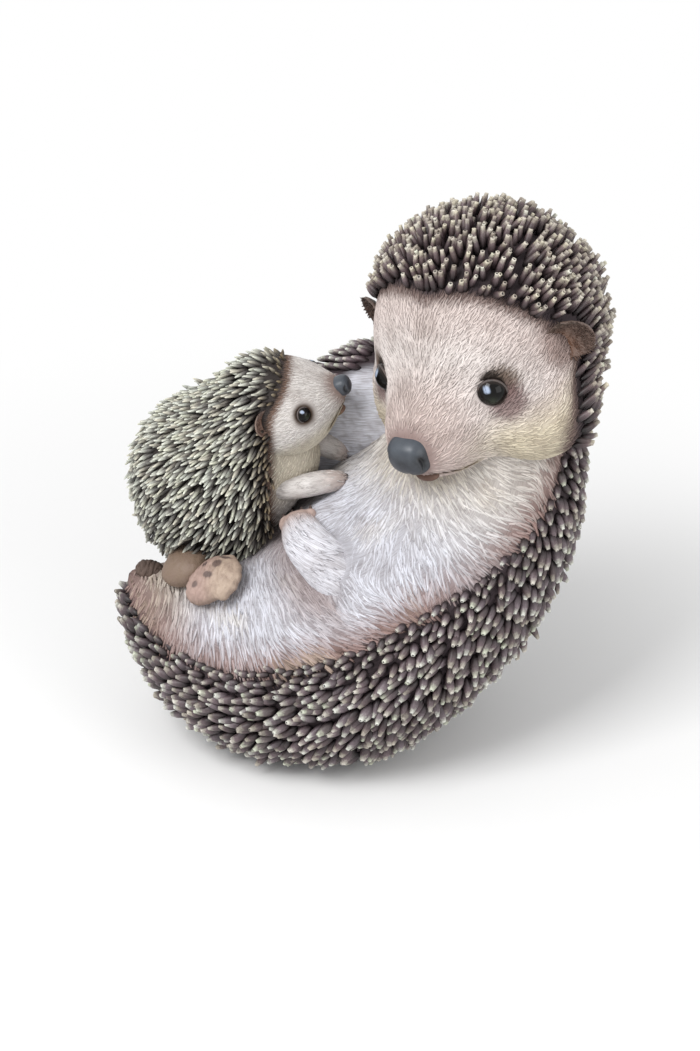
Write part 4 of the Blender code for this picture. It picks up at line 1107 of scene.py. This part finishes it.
def buildEye(kit, side, word):
    eye = eyeMiddle(kit, side)
    spread, forward, rise = kit["eyeDirection"]
    towards = unit(np.array((side * spread, -forward, rise)))
    level = unit(np.cross(towards, np.array((0.0, 0.0, 1.0))))
    upward = np.cross(level, towards)
    level = level if level[0] > 0 else -level

    def eyeTone(directions, tone):
        # a brown rim far from the middle, and two painted reflections: a dim glow low down and a window-shaped glint
        # high on the left
        x, y = directions @ level, directions @ upward
        front = directions @ towards
        glow = np.exp(-((x - glint["glowPlace"][0]) ** 2 + (y - glint["glowPlace"][1]) ** 2) / 0.10)
        u, v = x - glint["place"][0], y - glint["place"][1]
        spot = (np.abs(u / glint["wide"]) ** 3 + np.abs(v / glint["tall"]) ** 3) ** (1 / 3)
        bar = np.abs(u - glint["bar"]) < glint["barWidth"]
        return 0 * x, layered(
            tone, (glint["rim"], within(front, 0.62, 0.2)), (glint["glow"], glow * 0.5 * (front > 0)),
            (glint["code"], within(spot, 1.0, 0.6) * (front > 0) * (0.85 - 0.5 * bar)))
    name = kit["owner"] + "_" + word
    ball = {"place": eye, "radii": (kit["eyeRadius"],) * 3, "code": "090807", "power": 1.0, "rows": 96,
            "columns": 144}
    ballPiece(name + "_glass", ball, kit["matrix"], kit["glass"], eyeTone,
              [name + "_eye"])
    lidRing(kit, name + "_lid", eye, towards)


ear = {"turn": 28, "frontRings": 26, "backRings": 16, "columns": 90, "cup": 0.75, "cupPower": 2.2}


def buildEar(kit, side, word):
    # a cupped disc: the front sinks to its middle, the rim rolls over, and the back is a shallow bowl
    name = kit["owner"] + "_" + word + "_ear"
    radius, thick, codes = kit["earRadius"], kit["earThickness"], kit["earCodes"]
    rings = np.concatenate([np.linspace(0.04, 0.94, ear["frontRings"]), [1.0],
                            np.linspace(0.96, 0.06, ear["backRings"])])
    front = np.arange(len(rings)) < ear["frontRings"]
    turn = wholeTurn(ear["columns"])
    cup = ear["cup"] * thick
    height = np.where(front, cup * rings ** ear["cupPower"] - 0.28 * thick, -cup * (1 - rings ** 2) + 0.1 * thick)
    height = np.where(rings == 1.0, 0.36 * thick, height)
    outline = radius * (1 + 0.04 * np.cos(2 * turn) + 0.015 * smoothNoise(turn * 16 / np.pi, 0 * turn + 3, 41))
    ring = rings[:, None]
    points = np.stack([ring * np.cos(turn) * outline, ring * np.sin(turn) * outline, height[:, None] + 0 * turn], -1)
    points[..., 2] += 0.05 * thick * smoothNoise(ring * 5, turn * 12 / np.pi, 41, 24)
    facing = Matrix.Rotation(math.radians(side * ear["turn"]), 4, "Z") @ Matrix.Rotation(math.radians(90), 4, "X")
    place = kit["matrix"] @ placedAt(onHead(kit, "earDirection", side, kit["earProud"]), facing)

    def earTone(points):
        x, y = points[..., 0], points[..., 1]
        near = np.exp(-((x + side * 0.62 * radius) ** 2 + (y + 0.25 * radius) ** 2) / (0.55 * radius) ** 2)
        # the third paint darkens the top of the dish: a painted shadow
        return layered(plain(codes[0], points), (codes[1], near),
                       (codes[2], ease(y, 0.35 * radius, 0.9 * radius) * 0.9),
                       (codes[3], ease(np.hypot(x, y), 0.88 * radius, 1.0 * radius) * 0.8))
    gridPiece(name, points, endPoles(points), pawSkin, {"paint": earTone(points)}, (), place)
    first = radius * np.sqrt(rng.uniform(0.01, 0.8, kit["earHairs"]))
    second = rng.uniform(0, 2 * np.pi, kit["earHairs"])

    def dish(out, around):
        depth = cup * (np.clip(out, 0, radius) / radius) ** ear["cupPower"] - 0.27 * thick
        return np.stack([out * np.cos(around), out * np.sin(around), depth], -1)
    hairs = {"length": 0.30 * radius, "width": 0.085 * radius, "height": 0.022 * radius, "lift": 0.6, "steps": 4,
             "scatter": 16, "dark": 0.5, "darkCode": "7a6f6c"}
    base = dish(first, second)
    paths, normals = combLocks(dish, first, second, lambda out, around: 0.5 + 0 * out, hairs)
    normals = normals * np.sign(normals[..., 2:3])
    buildLocks(name + "_fur", moved(paths, place), turnedOnly(normals, place), earTone(base) * 1.15, hairs, faceFur)


bothSides = ((1, "left"), (-1, "right"))
for side, word in bothSides:
    buildEye(mother, side, word)
for side, word in bothSides:
    buildEar(mother, side, word)


# Mother's limbs

limbPaint = {"arm": "e0e0e7", "paw": "c2aba2", "sole": "aa9086", "pale": "b5a38f", "pad": "4a3c3b", "claw": "3f332f",
             "far": "7a6757", "tail": "62524a"}


def pathAxes(path):  # the directions ahead of, beside and above each point of a path
    ahead = unit(np.gradient(path, axis=0))
    sideways = unit(np.cross(ahead, np.array((0.0, 0.3, 1.0))))
    return ahead, sideways, np.cross(sideways, ahead)


def tubePiece(name, path, radii, material, colourAt, seed, columns, fur=0.0005):
    # circles carried along the path, with rounded ends, and strands along it
    ahead, sideways, upward = pathAxes(path)
    turn = wholeTurn(columns)
    outward = np.cos(turn)[None, :, None] * sideways[:, None] + np.sin(turn)[None, :, None] * upward[:, None]
    along = np.concatenate([[0], np.cumsum(lengthOf(np.diff(path, axis=0)))])
    fromEnd = np.clip(np.minimum(along, along[-1] - along) / radii, 0, 1)
    capped = np.sqrt(np.clip(1 - (1 - fromEnd) ** 2, 0.02, 1))
    points = path[:, None] + outward * (radii * capped)[:, None, None]
    u = along[:, None] + 0 * turn
    v = turn[None] * 0.01 + 0 * u
    v = v + 0.0012 * smoothNoise(u / 0.012, v / 0.012, seed)
    locks = strands(u, v, 0.012, 0.0034, seed + 1)
    points = points + outward * (fur * (locks - 0.5))[..., None]
    poles = np.stack([path[0] - ahead[0] * radii[0] * 0.02, path[-1] + ahead[-1] * radii[-1] * 0.02])
    gridPiece(name, points, poles, material,
              {"paint": colourAt(points, u / along[-1]), "flow": np.stack([u, v, 0 * v], -1),
               "groove": ease(locks, 0, 0.45)})


def armColour(points, share):
    return layered(plain(limbPaint["arm"], points), (limbPaint["paw"], ease(share, 0.66, 0.9) * 0.9))


armFine, armFineRadii = smoothPath(armPlaces, arm["rows"]), smoothRadii(arm["radii"], arm["rows"])
tubePiece("mother_forearm", armFine, armFineRadii, bellyFur, armColour, 51, arm["columns"])


def limbLocks(name, path, radii, kit, colourAt, material):
    # strands toward the paw, on a skin that is a function of the share along the path and the turn round it
    ahead, sideways, upward = pathAxes(path)

    def surface(share, turn):
        place = np.clip(share, 0, 1) * (len(path) - 1)
        k = np.clip(place.astype(int), 0, len(path) - 2)
        f = (place - k)[..., None]
        middle, aside, rise, radius = (rows[k] * (1 - f) + rows[k + 1] * f
                                       for rows in (path, sideways, upward, radii[:, None]))
        return middle + radius * (np.cos(turn)[..., None] * aside + np.sin(turn)[..., None] * rise)
    first, second = rng.uniform(0.08, kit["until"], kit["count"]), rng.uniform(0, 2 * np.pi, kit["count"])
    paths, normals = combLocks(surface, first, second, straight, kit)
    base = surface(first, second)
    away = np.sign(np.sum(normals[:, 0] * (base - surface(first, second + np.pi)), -1))[:, None, None]
    buildLocks(name, paths, normals * away, colourAt(base, first), kit, material)


armLocks = {**furLocks, "length": 0.0064, "width": 0.0013, "height": 0.0002, "lift": 0.2, "scatter": 10, "dark": 0.12,
            "count": 1100, "until": 0.80}
limbLocks("mother_arm_fur", armFine, armFineRadii, armLocks, armColour, bellyFur)


def clawSet(name, roots, towards, up, length, radius, slot):  # small curved claws, one for each root
    count = len(roots)
    axes = np.repeat(unit(towards)[None], count, axis=0)
    normals = unit(across(np.array(up), axes))
    parts = (np.array(roots), axes, normals, np.full(count, length), np.full(count, radius),
             np.tile(paint(limbPaint["claw"]), (count, 1)))
    buildQuills(name, {"sides": 10, "tipShare": 0.3, "pit": 0.0, "bend": 0.3}, parts, pawSkin, slot)


def localFrame(middle, out, upHint=(0.0, 0.5, 0.87)):  # a frame at the middle with Z out of the skin
    out = unit(np.array(out))
    right = unit(np.cross(np.array(upHint), out))
    turn = Matrix(np.stack([right, np.cross(out, right), out], 1).tolist()).to_4x4()
    return placedAt(middle, turn)


def formPiece(name, form, blend, matrix, material, colourAt, rows=60, columns=90, relief=0.0, seed=61):
    # the form's skin on a polar grid about its own middle, with strands where it is furred
    points = formSkin(ballDirections(rows, columns), form, blend, farthest=0.05)
    poles = endPoles(points)
    normal = gridNormals(points, poles)
    u, v = points[..., 1] + points[..., 2], points[..., 0] - 0.3 * points[..., 2]
    locks = strands(u, v, 0.008, 0.0022, seed)
    points = points + normal * (relief * (locks - 0.5))[..., None]
    gridPiece(name, points, poles, material, {"paint": colourAt(points), "flow": np.stack([u, v, 0 * v], -1),
                                              "groove": ease(locks, 0, 0.45)}, (), matrix)


def footFrame(place):
    middle = torsoPlace(place)
    return localFrame(middle, torsoPlace((place[0], place[1], place[2] + 0.008)) - middle)


nearFoot = {"place": (0.177, 21, 0.0056), "toeRadius": 0.0025, "toeReach": 0.0112, "toes": (-42, -16, 10, 36, 62),
            "form": [((0.0016, 0.0010, 0.0), (0.0096, 0.0104, 0.0070)),
                     ((-0.0046, -0.0036, -0.0012), (0.0072, 0.0084, 0.0064))],
            "pads": ((0.0042, 0.0046, 0.0019, 0.0026), (0.0022, -0.0018, 0.0026, 0.0016),
                     (-0.0022, 0.0040, 0.0013, 0.0016), (-0.0040, -0.0062, 0.0016, 0.0016),
                     (0.0052, 0.0094, 0.0030, 0.0010))}
farFoot = {"place": (0.106, 7, 0.0044),
           "form": [((0.0, 0.0, 0.0), (0.0092, 0.0105, 0.0072)),
                    ((-0.0050, 0.0050, 0.002), (0.0062, 0.0056, 0.0056)),
                    ((-0.003, -0.005, -0.001), (0.0080, 0.0080, 0.0062)),
                    ((0.0040, -0.0060, 0.0), (0.0060, 0.0060, 0.0055))]}
tail = {"place": (0.026, -3, -0.0004),
        "form": [((0.0, 0.0, 0.0), (0.0058, 0.0050, 0.0042)), ((-0.0030, 0.0, 0.0014), (0.0036, 0.0036, 0.0032))]}
fingers = {"spreads": (-0.0062, -0.0021, 0.0021, 0.0062), "radii": (0.0024, 0.0024, 0.0034),
           "palm": (0.0072, 0.0066, 0.0066), "up": (0.0, -0.85, 0.5)}


def soleColour(points):
    # pink toward the heel, paler on the ball, browner down the sides, with dark oval pads
    x, y, z = points[..., 0], points[..., 1], points[..., 2]
    colour = layered(plain(limbPaint["sole"], points), (limbPaint["pale"], ease(x, -0.002, 0.008) * 0.7),
                     (limbPaint["far"], within(z, 0.002, 0.005) * 0.8))
    for padX, padY, wide, tall in nearFoot["pads"]:
        gap = np.hypot((x - padX) / wide, (y - padY) / tall)
        colour = layered(colour, (limbPaint["pad"], within(gap, 1.25, 0.6) * ease(z, -0.001, 0.002) * 0.9))
    return colour


def buildNearFoot():
    reach = nearFoot["toeReach"]
    toes = [((reach * math.cos(math.radians(turn)), reach * math.sin(math.radians(turn)), -0.0004),
             (nearFoot["toeRadius"],) * 3) for turn in nearFoot["toes"]]
    formPiece("mother_near_foot", nearFoot["form"] + toes, 0.0012, footFrame(nearFoot["place"]), pawSkin,
              soleColour, rows=90, columns=130, relief=0.0006)


def buildFarFootAndTail():
    formPiece("mother_far_foot", farFoot["form"], 0.0014, footFrame(farFoot["place"]), pawSkin,
              lambda points: plain(limbPaint["far"], points), relief=0.0003)
    formPiece("mother_tail", tail["form"], 0.001, footFrame(tail["place"]), bellyFur,
              lambda points: plain(limbPaint["tail"], points), relief=0.0006)


def buildFingers():
    # four knuckles melted into the end of the forearm, with a claw on each
    pawEnd = unit(armFine[-1] - armFine[-12])
    pawSide = unit(np.cross(pawEnd, np.array(fingers["up"])))
    middle = armFine[-9]
    knuckles = [armFine[-7] + pawSide * spread + pawEnd * (0.0052 - 0.25 * abs(spread))
                for spread in fingers["spreads"]]
    form = [(tuple(place - middle), fingers["radii"]) for place in knuckles] + [(origin, fingers["palm"])]
    formPiece("mother_fingers", form, 0.0009, placedAt(middle), pawSkin,
              lambda points: plain(limbPaint["paw"], points), rows=90, columns=130)
    roots = [place + pawEnd * 0.0008 + np.array((0.0, -0.0014, 0.0016)) for place in knuckles]
    towards = unit(pawEnd + np.array((0.1, -0.4, 0.9)))
    clawSet("mother_claws", roots, towards, fingers["up"], 0.0036, 0.0009, "body_finish")


buildNearFoot()
buildFingers()
buildFarFootAndTail()


# Baby

babyPaint = {"fur": "e2dedb", "cream": "e0d9c6", "edge": "7b6356", "coat": "3d3634", "eye": "4e3a29", "nose": "a48a80",
             "olive": "8f8158", "jaw": "8c7060", "mouth": "4a392c"}
babyLocks = {"length": 0.0036, "width": 0.00070, "height": 0.00018, "lift": 0.5, "steps": 5, "scatter": 12,
             "dark": 0.55, "darkCode": "8f8478", "count": 4200, "bodyCount": 2600, "bodyUndercoat": 0.38}
babyJaw = {"place": (0.0, -0.0238, -0.0118),
           "form": [((0.0, 0.0, 0.0), (0.0034, 0.0050, 0.0020)), ((0.0, 0.0065, 0.0006), (0.0048, 0.0056, 0.0026))]}


def behindEdge(points):
    # how far points of the baby are behind the edge of its coat, which lies further forward on the head
    rise = ease(points[..., 2] - babyPlace[2], 0.038, 0.058)
    return babyPlace[0] + baby["coatEdge"] + (baby["coatEdgeOnHead"] - baby["coatEdge"]) * rise - points[..., 0]


def edgeLayers(behind):
    return (babyPaint["edge"], ease(behind, -0.0055, -0.0015)), (babyPaint["coat"], ease(behind, -0.002, 0.001))


def babyBodyTone(points):
    cream = ease(points[..., 2] - babyPlace[2], -0.012, 0.010) * 0.9
    return layered(plain(babyPaint["fur"], points), (babyPaint["cream"], cream), *edgeLayers(behindEdge(points)))


def buildBabyBody():
    surface = raySurface(babyForm, baby["bodyBlend"], (0.004, 0.0, 0.0), baby["headOffset"])
    polar, turn = polarGrid(baby, math.radians(120))
    local = surface(polar, turn)
    colour = undercoat(babyBodyTone(local + babyPlace), babyLocks["bodyUndercoat"], babyLocks)
    flow = np.stack([polar * 0.03, turn * 0.02, 0 * turn], -1)
    gridPiece("baby_body_skin", local, endPoles(local), babyFur,
              {"paint": colour, "flow": flow, "groove": 0.6 + 0 * turn}, ["baby"],
              placedAt(babyPlace))
    first, second = spiralPlaces(babyLocks["bodyCount"], math.radians(130))
    base = surface(first, second) + babyPlace
    keep = behindEdge(base) < 0.0015
    paths, normals = combLocks(surface, first[keep], second[keep], straight, babyLocks)
    tints = babyBodyTone(base[keep])
    buildLocks("baby_body_fur", paths + babyPlace, normals, tints, babyLocks, babyFur)


def babyTone(local):
    # the face's airbrushing and relief: eye rims, muzzle, mouth, yellowish throat and the hood's brown edge
    look, height = babyPaint, 0.0
    past = behindEdge(moved(local, baby["matrix"]))
    toNose = lengthOf(local - np.array(baby["nose"]["place"]))
    colour = layered(plain(look["fur"], local), (look["cream"], ease(-0.003 - local[..., 2], 0.0, 0.010) * 0.9),
                     (look["nose"], within(toNose, 0.012, 0.008) * 0.85))
    for side in (1, -1):
        gap = lengthOf(local - eyeMiddle(baby, side))
        line = mouthLine(baby, local, side)[1]
        colour = layered(
            colour, (look["eye"], within(gap, 0.0062, 0.0024)),
            (look["olive"], within(line, 0.0032, 0.003) * ease(-0.006 - local[..., 2], 0, 0.003) * 0.7),
            (look["mouth"], bell(line, 0.0006) * 0.95))
        height = height + 0.0004 * bell(gap - 0.0052, 0.0012) - 0.002 * within(gap, 0.0038, 0.0006)
        height = height - 0.0011 * bell(line, 0.0007)
    return layered(colour, *edgeLayers(past)), height, past


def jawColour(points):
    return layered(plain(babyPaint["olive"], points), (babyPaint["jaw"], ease(-points[..., 1], 0.001, 0.004)))


buildBabyBody()
buildHead(baby, babyTone, babyLocks)
formPiece("baby_jaw", babyJaw["form"], 0.0008, baby["matrix"] @ placedAt(babyJaw["place"]), babyFur, jawColour,
          relief=0.0001)
ballPiece("baby_nose", baby["nose"], baby["matrix"], noseSkin, noseTone)
for side, word in bothSides:
    buildEye(baby, side, word)
    buildEar(baby, side, word)

babyArms = {
    "near": ((0.018, -0.006, -0.002), (0.036, -0.0195, 0.0035), (0.0545, -0.0195, 0.007), (0.0635, -0.0155, 0.006)),
    "far": ((0.036, 0.000, 0.018), (0.048, 0.002, 0.016), (0.058, 0.003, 0.012), (0.064, 0.004, 0.008)),
    "radii": (0.0018, 0.0047, 0.0051, 0.0034), "rows": 60, "columns": 48, "claws": (-0.0024, -0.0008, 0.0008, 0.0024),
}
babyArmLocks = {**babyLocks, "count": 320, "until": 0.88, "lift": 0.25, "dark": 0.3}


def babyArmColour(points, share):
    return layered(plain(babyPaint["fur"], points), (limbPaint["paw"], ease(share, 0.7, 0.95) * 0.7))


def buildBabyArm(word):
    name = "baby_" + word + "_arm"
    path = smoothPath([babyPlace + np.array(place) for place in babyArms[word]], babyArms["rows"])
    radii = smoothRadii(babyArms["radii"], babyArms["rows"])
    tubePiece(name, path, radii, babyFur, babyArmColour, 91, babyArms["columns"], fur=0.0003)
    ahead = unit(path[-1] - path[-6])
    aside = unit(across(np.array((0.0, 0.5, 0.87)), ahead))
    roots = [path[-3] + aside * spread + np.array((0.0, -0.0010, 0.0)) for spread in babyArms["claws"]]
    clawSet("baby_" + word + "_claws", roots, ahead - np.array((0.0, 0.0, 0.1)), (0.0, -0.87, 0.5), 0.0042, 0.00075,
            "baby_finish")
    limbLocks(name + "_fur", path, radii, babyArmLocks, babyArmColour, babyFur)


for word in ("near", "far"):
    buildBabyArm(word)

babyCoat = {"count": 4400, "share": 0.74, "length": 0.0080, "radius": 0.00098, "rise": 31, "riseAtEdge": 22,
            "tipShare": 0.34, "scatter": 0.18, "blend": 0.009, "sides": 6, "pit": 0.0, "bend": 0.12,
            "codes": ("ffffff", "f8f8f0", "eceeee", "f6f0ea"), "edgeCode": "a08a70", "earGaps": (0.0060, 0.0062)}


def babyQuills():
    # one coat over the body and the back of the head, which melt together; it lies away from the face
    form = babyForm[:3] + [(baby["headOffset"], (baby["skull"] + 0.001,) * 3)]
    local = formSkin(evenDirections(babyCoat["count"]), form, babyCoat["blend"], (0.010, 0.0, 0.012))
    local = local + rng.normal(0, 0.0003, local.shape)
    normal = formNormal(local, form, babyCoat["blend"])
    base = local + babyPlace - normal * (0.4 * babyCoat["blend"] * np.log(2))
    face = babyHeadPlace + turnedOnly(np.array((0.0, -0.020, 0.0)), baby["matrix"])
    flow = unit(across(unit(base - face) + np.array((-0.25, 0.0, -0.35)), normal))
    hood = base[:, 2] - babyPlace[2] > baby["hoodHeight"]
    keep = (behindEdge(base) > -0.0022) & (torsoClearance(base) > 0.001)
    keep &= (rng.uniform(0, 1, len(base)) < babyCoat["share"]) | hood
    for (side, word), gap in zip(bothSides, babyCoat["earGaps"]):
        ear = moved(onHead(baby, "earDirection", side, 0.0), baby["matrix"])
        keep &= (lengthOf(base + flow * 0.004 - ear) > gap) | (base[:, 0] < ear[0] - 0.006)
    base, normal, flow, hood = base[keep], normal[keep], flow[keep], hood[keep]
    count = len(base)
    grown = ease(behindEdge(base), -0.002, 0.008)
    rise = np.radians(babyCoat["rise"] + babyCoat["riseAtEdge"] * (1 - grown))
    axis = leaning(flow, normal, rise, babyCoat["scatter"])
    length = babyCoat["length"] * rng.uniform(0.8, 1.15, count) * (0.6 + 0.4 * grown)
    radius = babyCoat["radius"] * rng.uniform(0.85, 1.15, count) * (0.8 + 0.2 * grown)
    low = ease(babyPlace[2] + 0.004 - base[:, 2], 0.0, 0.025) * 0.25 + (1 - grown) * 0.2
    tint = tinted(count, babyCoat["codes"], 0.12) * (1 - low)[:, None]
    tint = tint * (1 - (1 - grown)[:, None] * (1 - paint(babyCoat["edgeCode"])))
    parts = base - normal * 0.0003, axis, normal, length, radius, tint
    buildQuills("baby_coat", babyCoat, parts, babyQuillPaint, "baby_finish", ~hood)
    buildQuills("baby_hood_coat", babyCoat, parts, babyQuillPaint, "baby_finish", hood)


babyQuills()


# Plug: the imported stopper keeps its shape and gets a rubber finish

def finishPlug():
    material, tree = newMaterial("plugRubber")
    grain = noise(tree, 700.0, 3.0)
    finish(tree, mixColour(tree, "MIX", grain, (0.020, 0.020, 0.021, 1.0), (0.045, 0.044, 0.043, 1.0)), 0.7)
    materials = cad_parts["base_plug"].data.materials
    materials.clear()
    materials.append(material)


finishPlug()

# Stage, light and camera

stage = {"floor": 3.0, "floorHeight": -0.0005, "floorCode": "f2f2f2", "shaded": (0.14, 0.42), "worldStrength": 0.62,
         "target": (0.0355, 0.010, 0.0988), "elevation": 30, "distance": 1.2, "lens": 91.3,
         "lamps": (("keyLamp", (-0.55, -0.55, 1.0), 0.6, 11.0), ("fillLamp", (0.9, -0.7, 0.5), 0.8, 4.0))}
white = (1.0, 1.0, 1.0, 1.0)


def link(name, data):
    thing = bpy.data.objects.new(name, data)
    bpy.context.scene.collection.objects.link(thing)
    return thing


def seenDirectly(tree):  # 1 for the camera's, glossy and clear rays
    rays = addNode(tree, "LightPath", {})
    clear = mathNode(tree, "MAXIMUM", rays["Is Glossy Ray"], rays["Is Transmission Ray"])
    return mathNode(tree, "MAXIMUM", rays["Is Camera Ray"], clear)


def floorPaint():
    # shaded near the object, and turning to plain white further out for the rays that see it
    material, tree = newMaterial("paleFloor")
    finish(tree, rgba(stage["floorCode"]), 0.9)
    place = addNode(tree, "TexCoord", {})["Object"]
    apart = addNode(tree, "VectorMath", {0: place}, operation="LENGTH")["Value"]
    low, high = stage["shaded"]
    far = addNode(tree, "MapRange", {"Value": apart, "From Min": low, "From Max": high},
                  interpolation_type="SMOOTHSTEP")["Result"]
    share = mathNode(tree, "MULTIPLY", far, seenDirectly(tree))
    glow = addNode(tree, "Emission", {"Color": white, "Strength": 1.0})[0]
    shaded = tree.nodes["Principled BSDF"].outputs[0]
    mixed = addNode(tree, "MixShader", {0: share, 1: shaded, 2: glow})[0]
    feed(tree, tree.nodes["Material Output"].inputs["Surface"], mixed)
    return material


def buildStage():
    half = stage["floor"] / 2
    mesh = bpy.data.meshes.new("floor")
    mesh.from_pydata([(-half, -half, 0), (half, -half, 0), (half, half, 0), (-half, half, 0)], [], [(0, 1, 2, 3)])
    mesh.materials.append(floorPaint())
    floor = link("floor", mesh)
    floor.location.z = stage["floorHeight"]
    world = bpy.data.worlds.new("paleRoom")
    world.use_nodes = True
    bpy.context.scene.world = world
    tree = world.node_tree
    background = tree.nodes["Background"]
    feed(tree, background.inputs["Color"], white)
    feed(tree, background.inputs["Strength"], mapped(tree, seenDirectly(tree), 0.0, 1.0, stage["worldStrength"], 1.0))
    feed(tree, tree.nodes["World Output"].inputs[0], background.outputs[0])
    for name, place, size, power in stage["lamps"]:
        light = bpy.data.lights.new(name, "AREA")
        light.size, light.energy = size, power
        lamp = link(name, light)
        lamp.location = place
        lamp.rotation_euler = (Vector(stage["target"]) - Vector(place)).to_track_quat("-Z", "Y").to_euler()


def placeCamera():
    elevation = math.radians(stage["elevation"])
    camera = bpy.data.cameras.new("camera")
    camera.lens = stage["lens"]
    view = link("camera", camera)
    away = Vector((0.0, -math.cos(elevation), math.sin(elevation)))
    view.location = Vector(stage["target"]) + stage["distance"] * away
    view.rotation_euler = (math.pi / 2 - elevation, 0.0, 0.0)
    bpy.context.scene.camera = view
    bpy.context.scene.view_settings.view_transform = "Standard"


buildStage()
placeCamera()
print("stage and camera set")
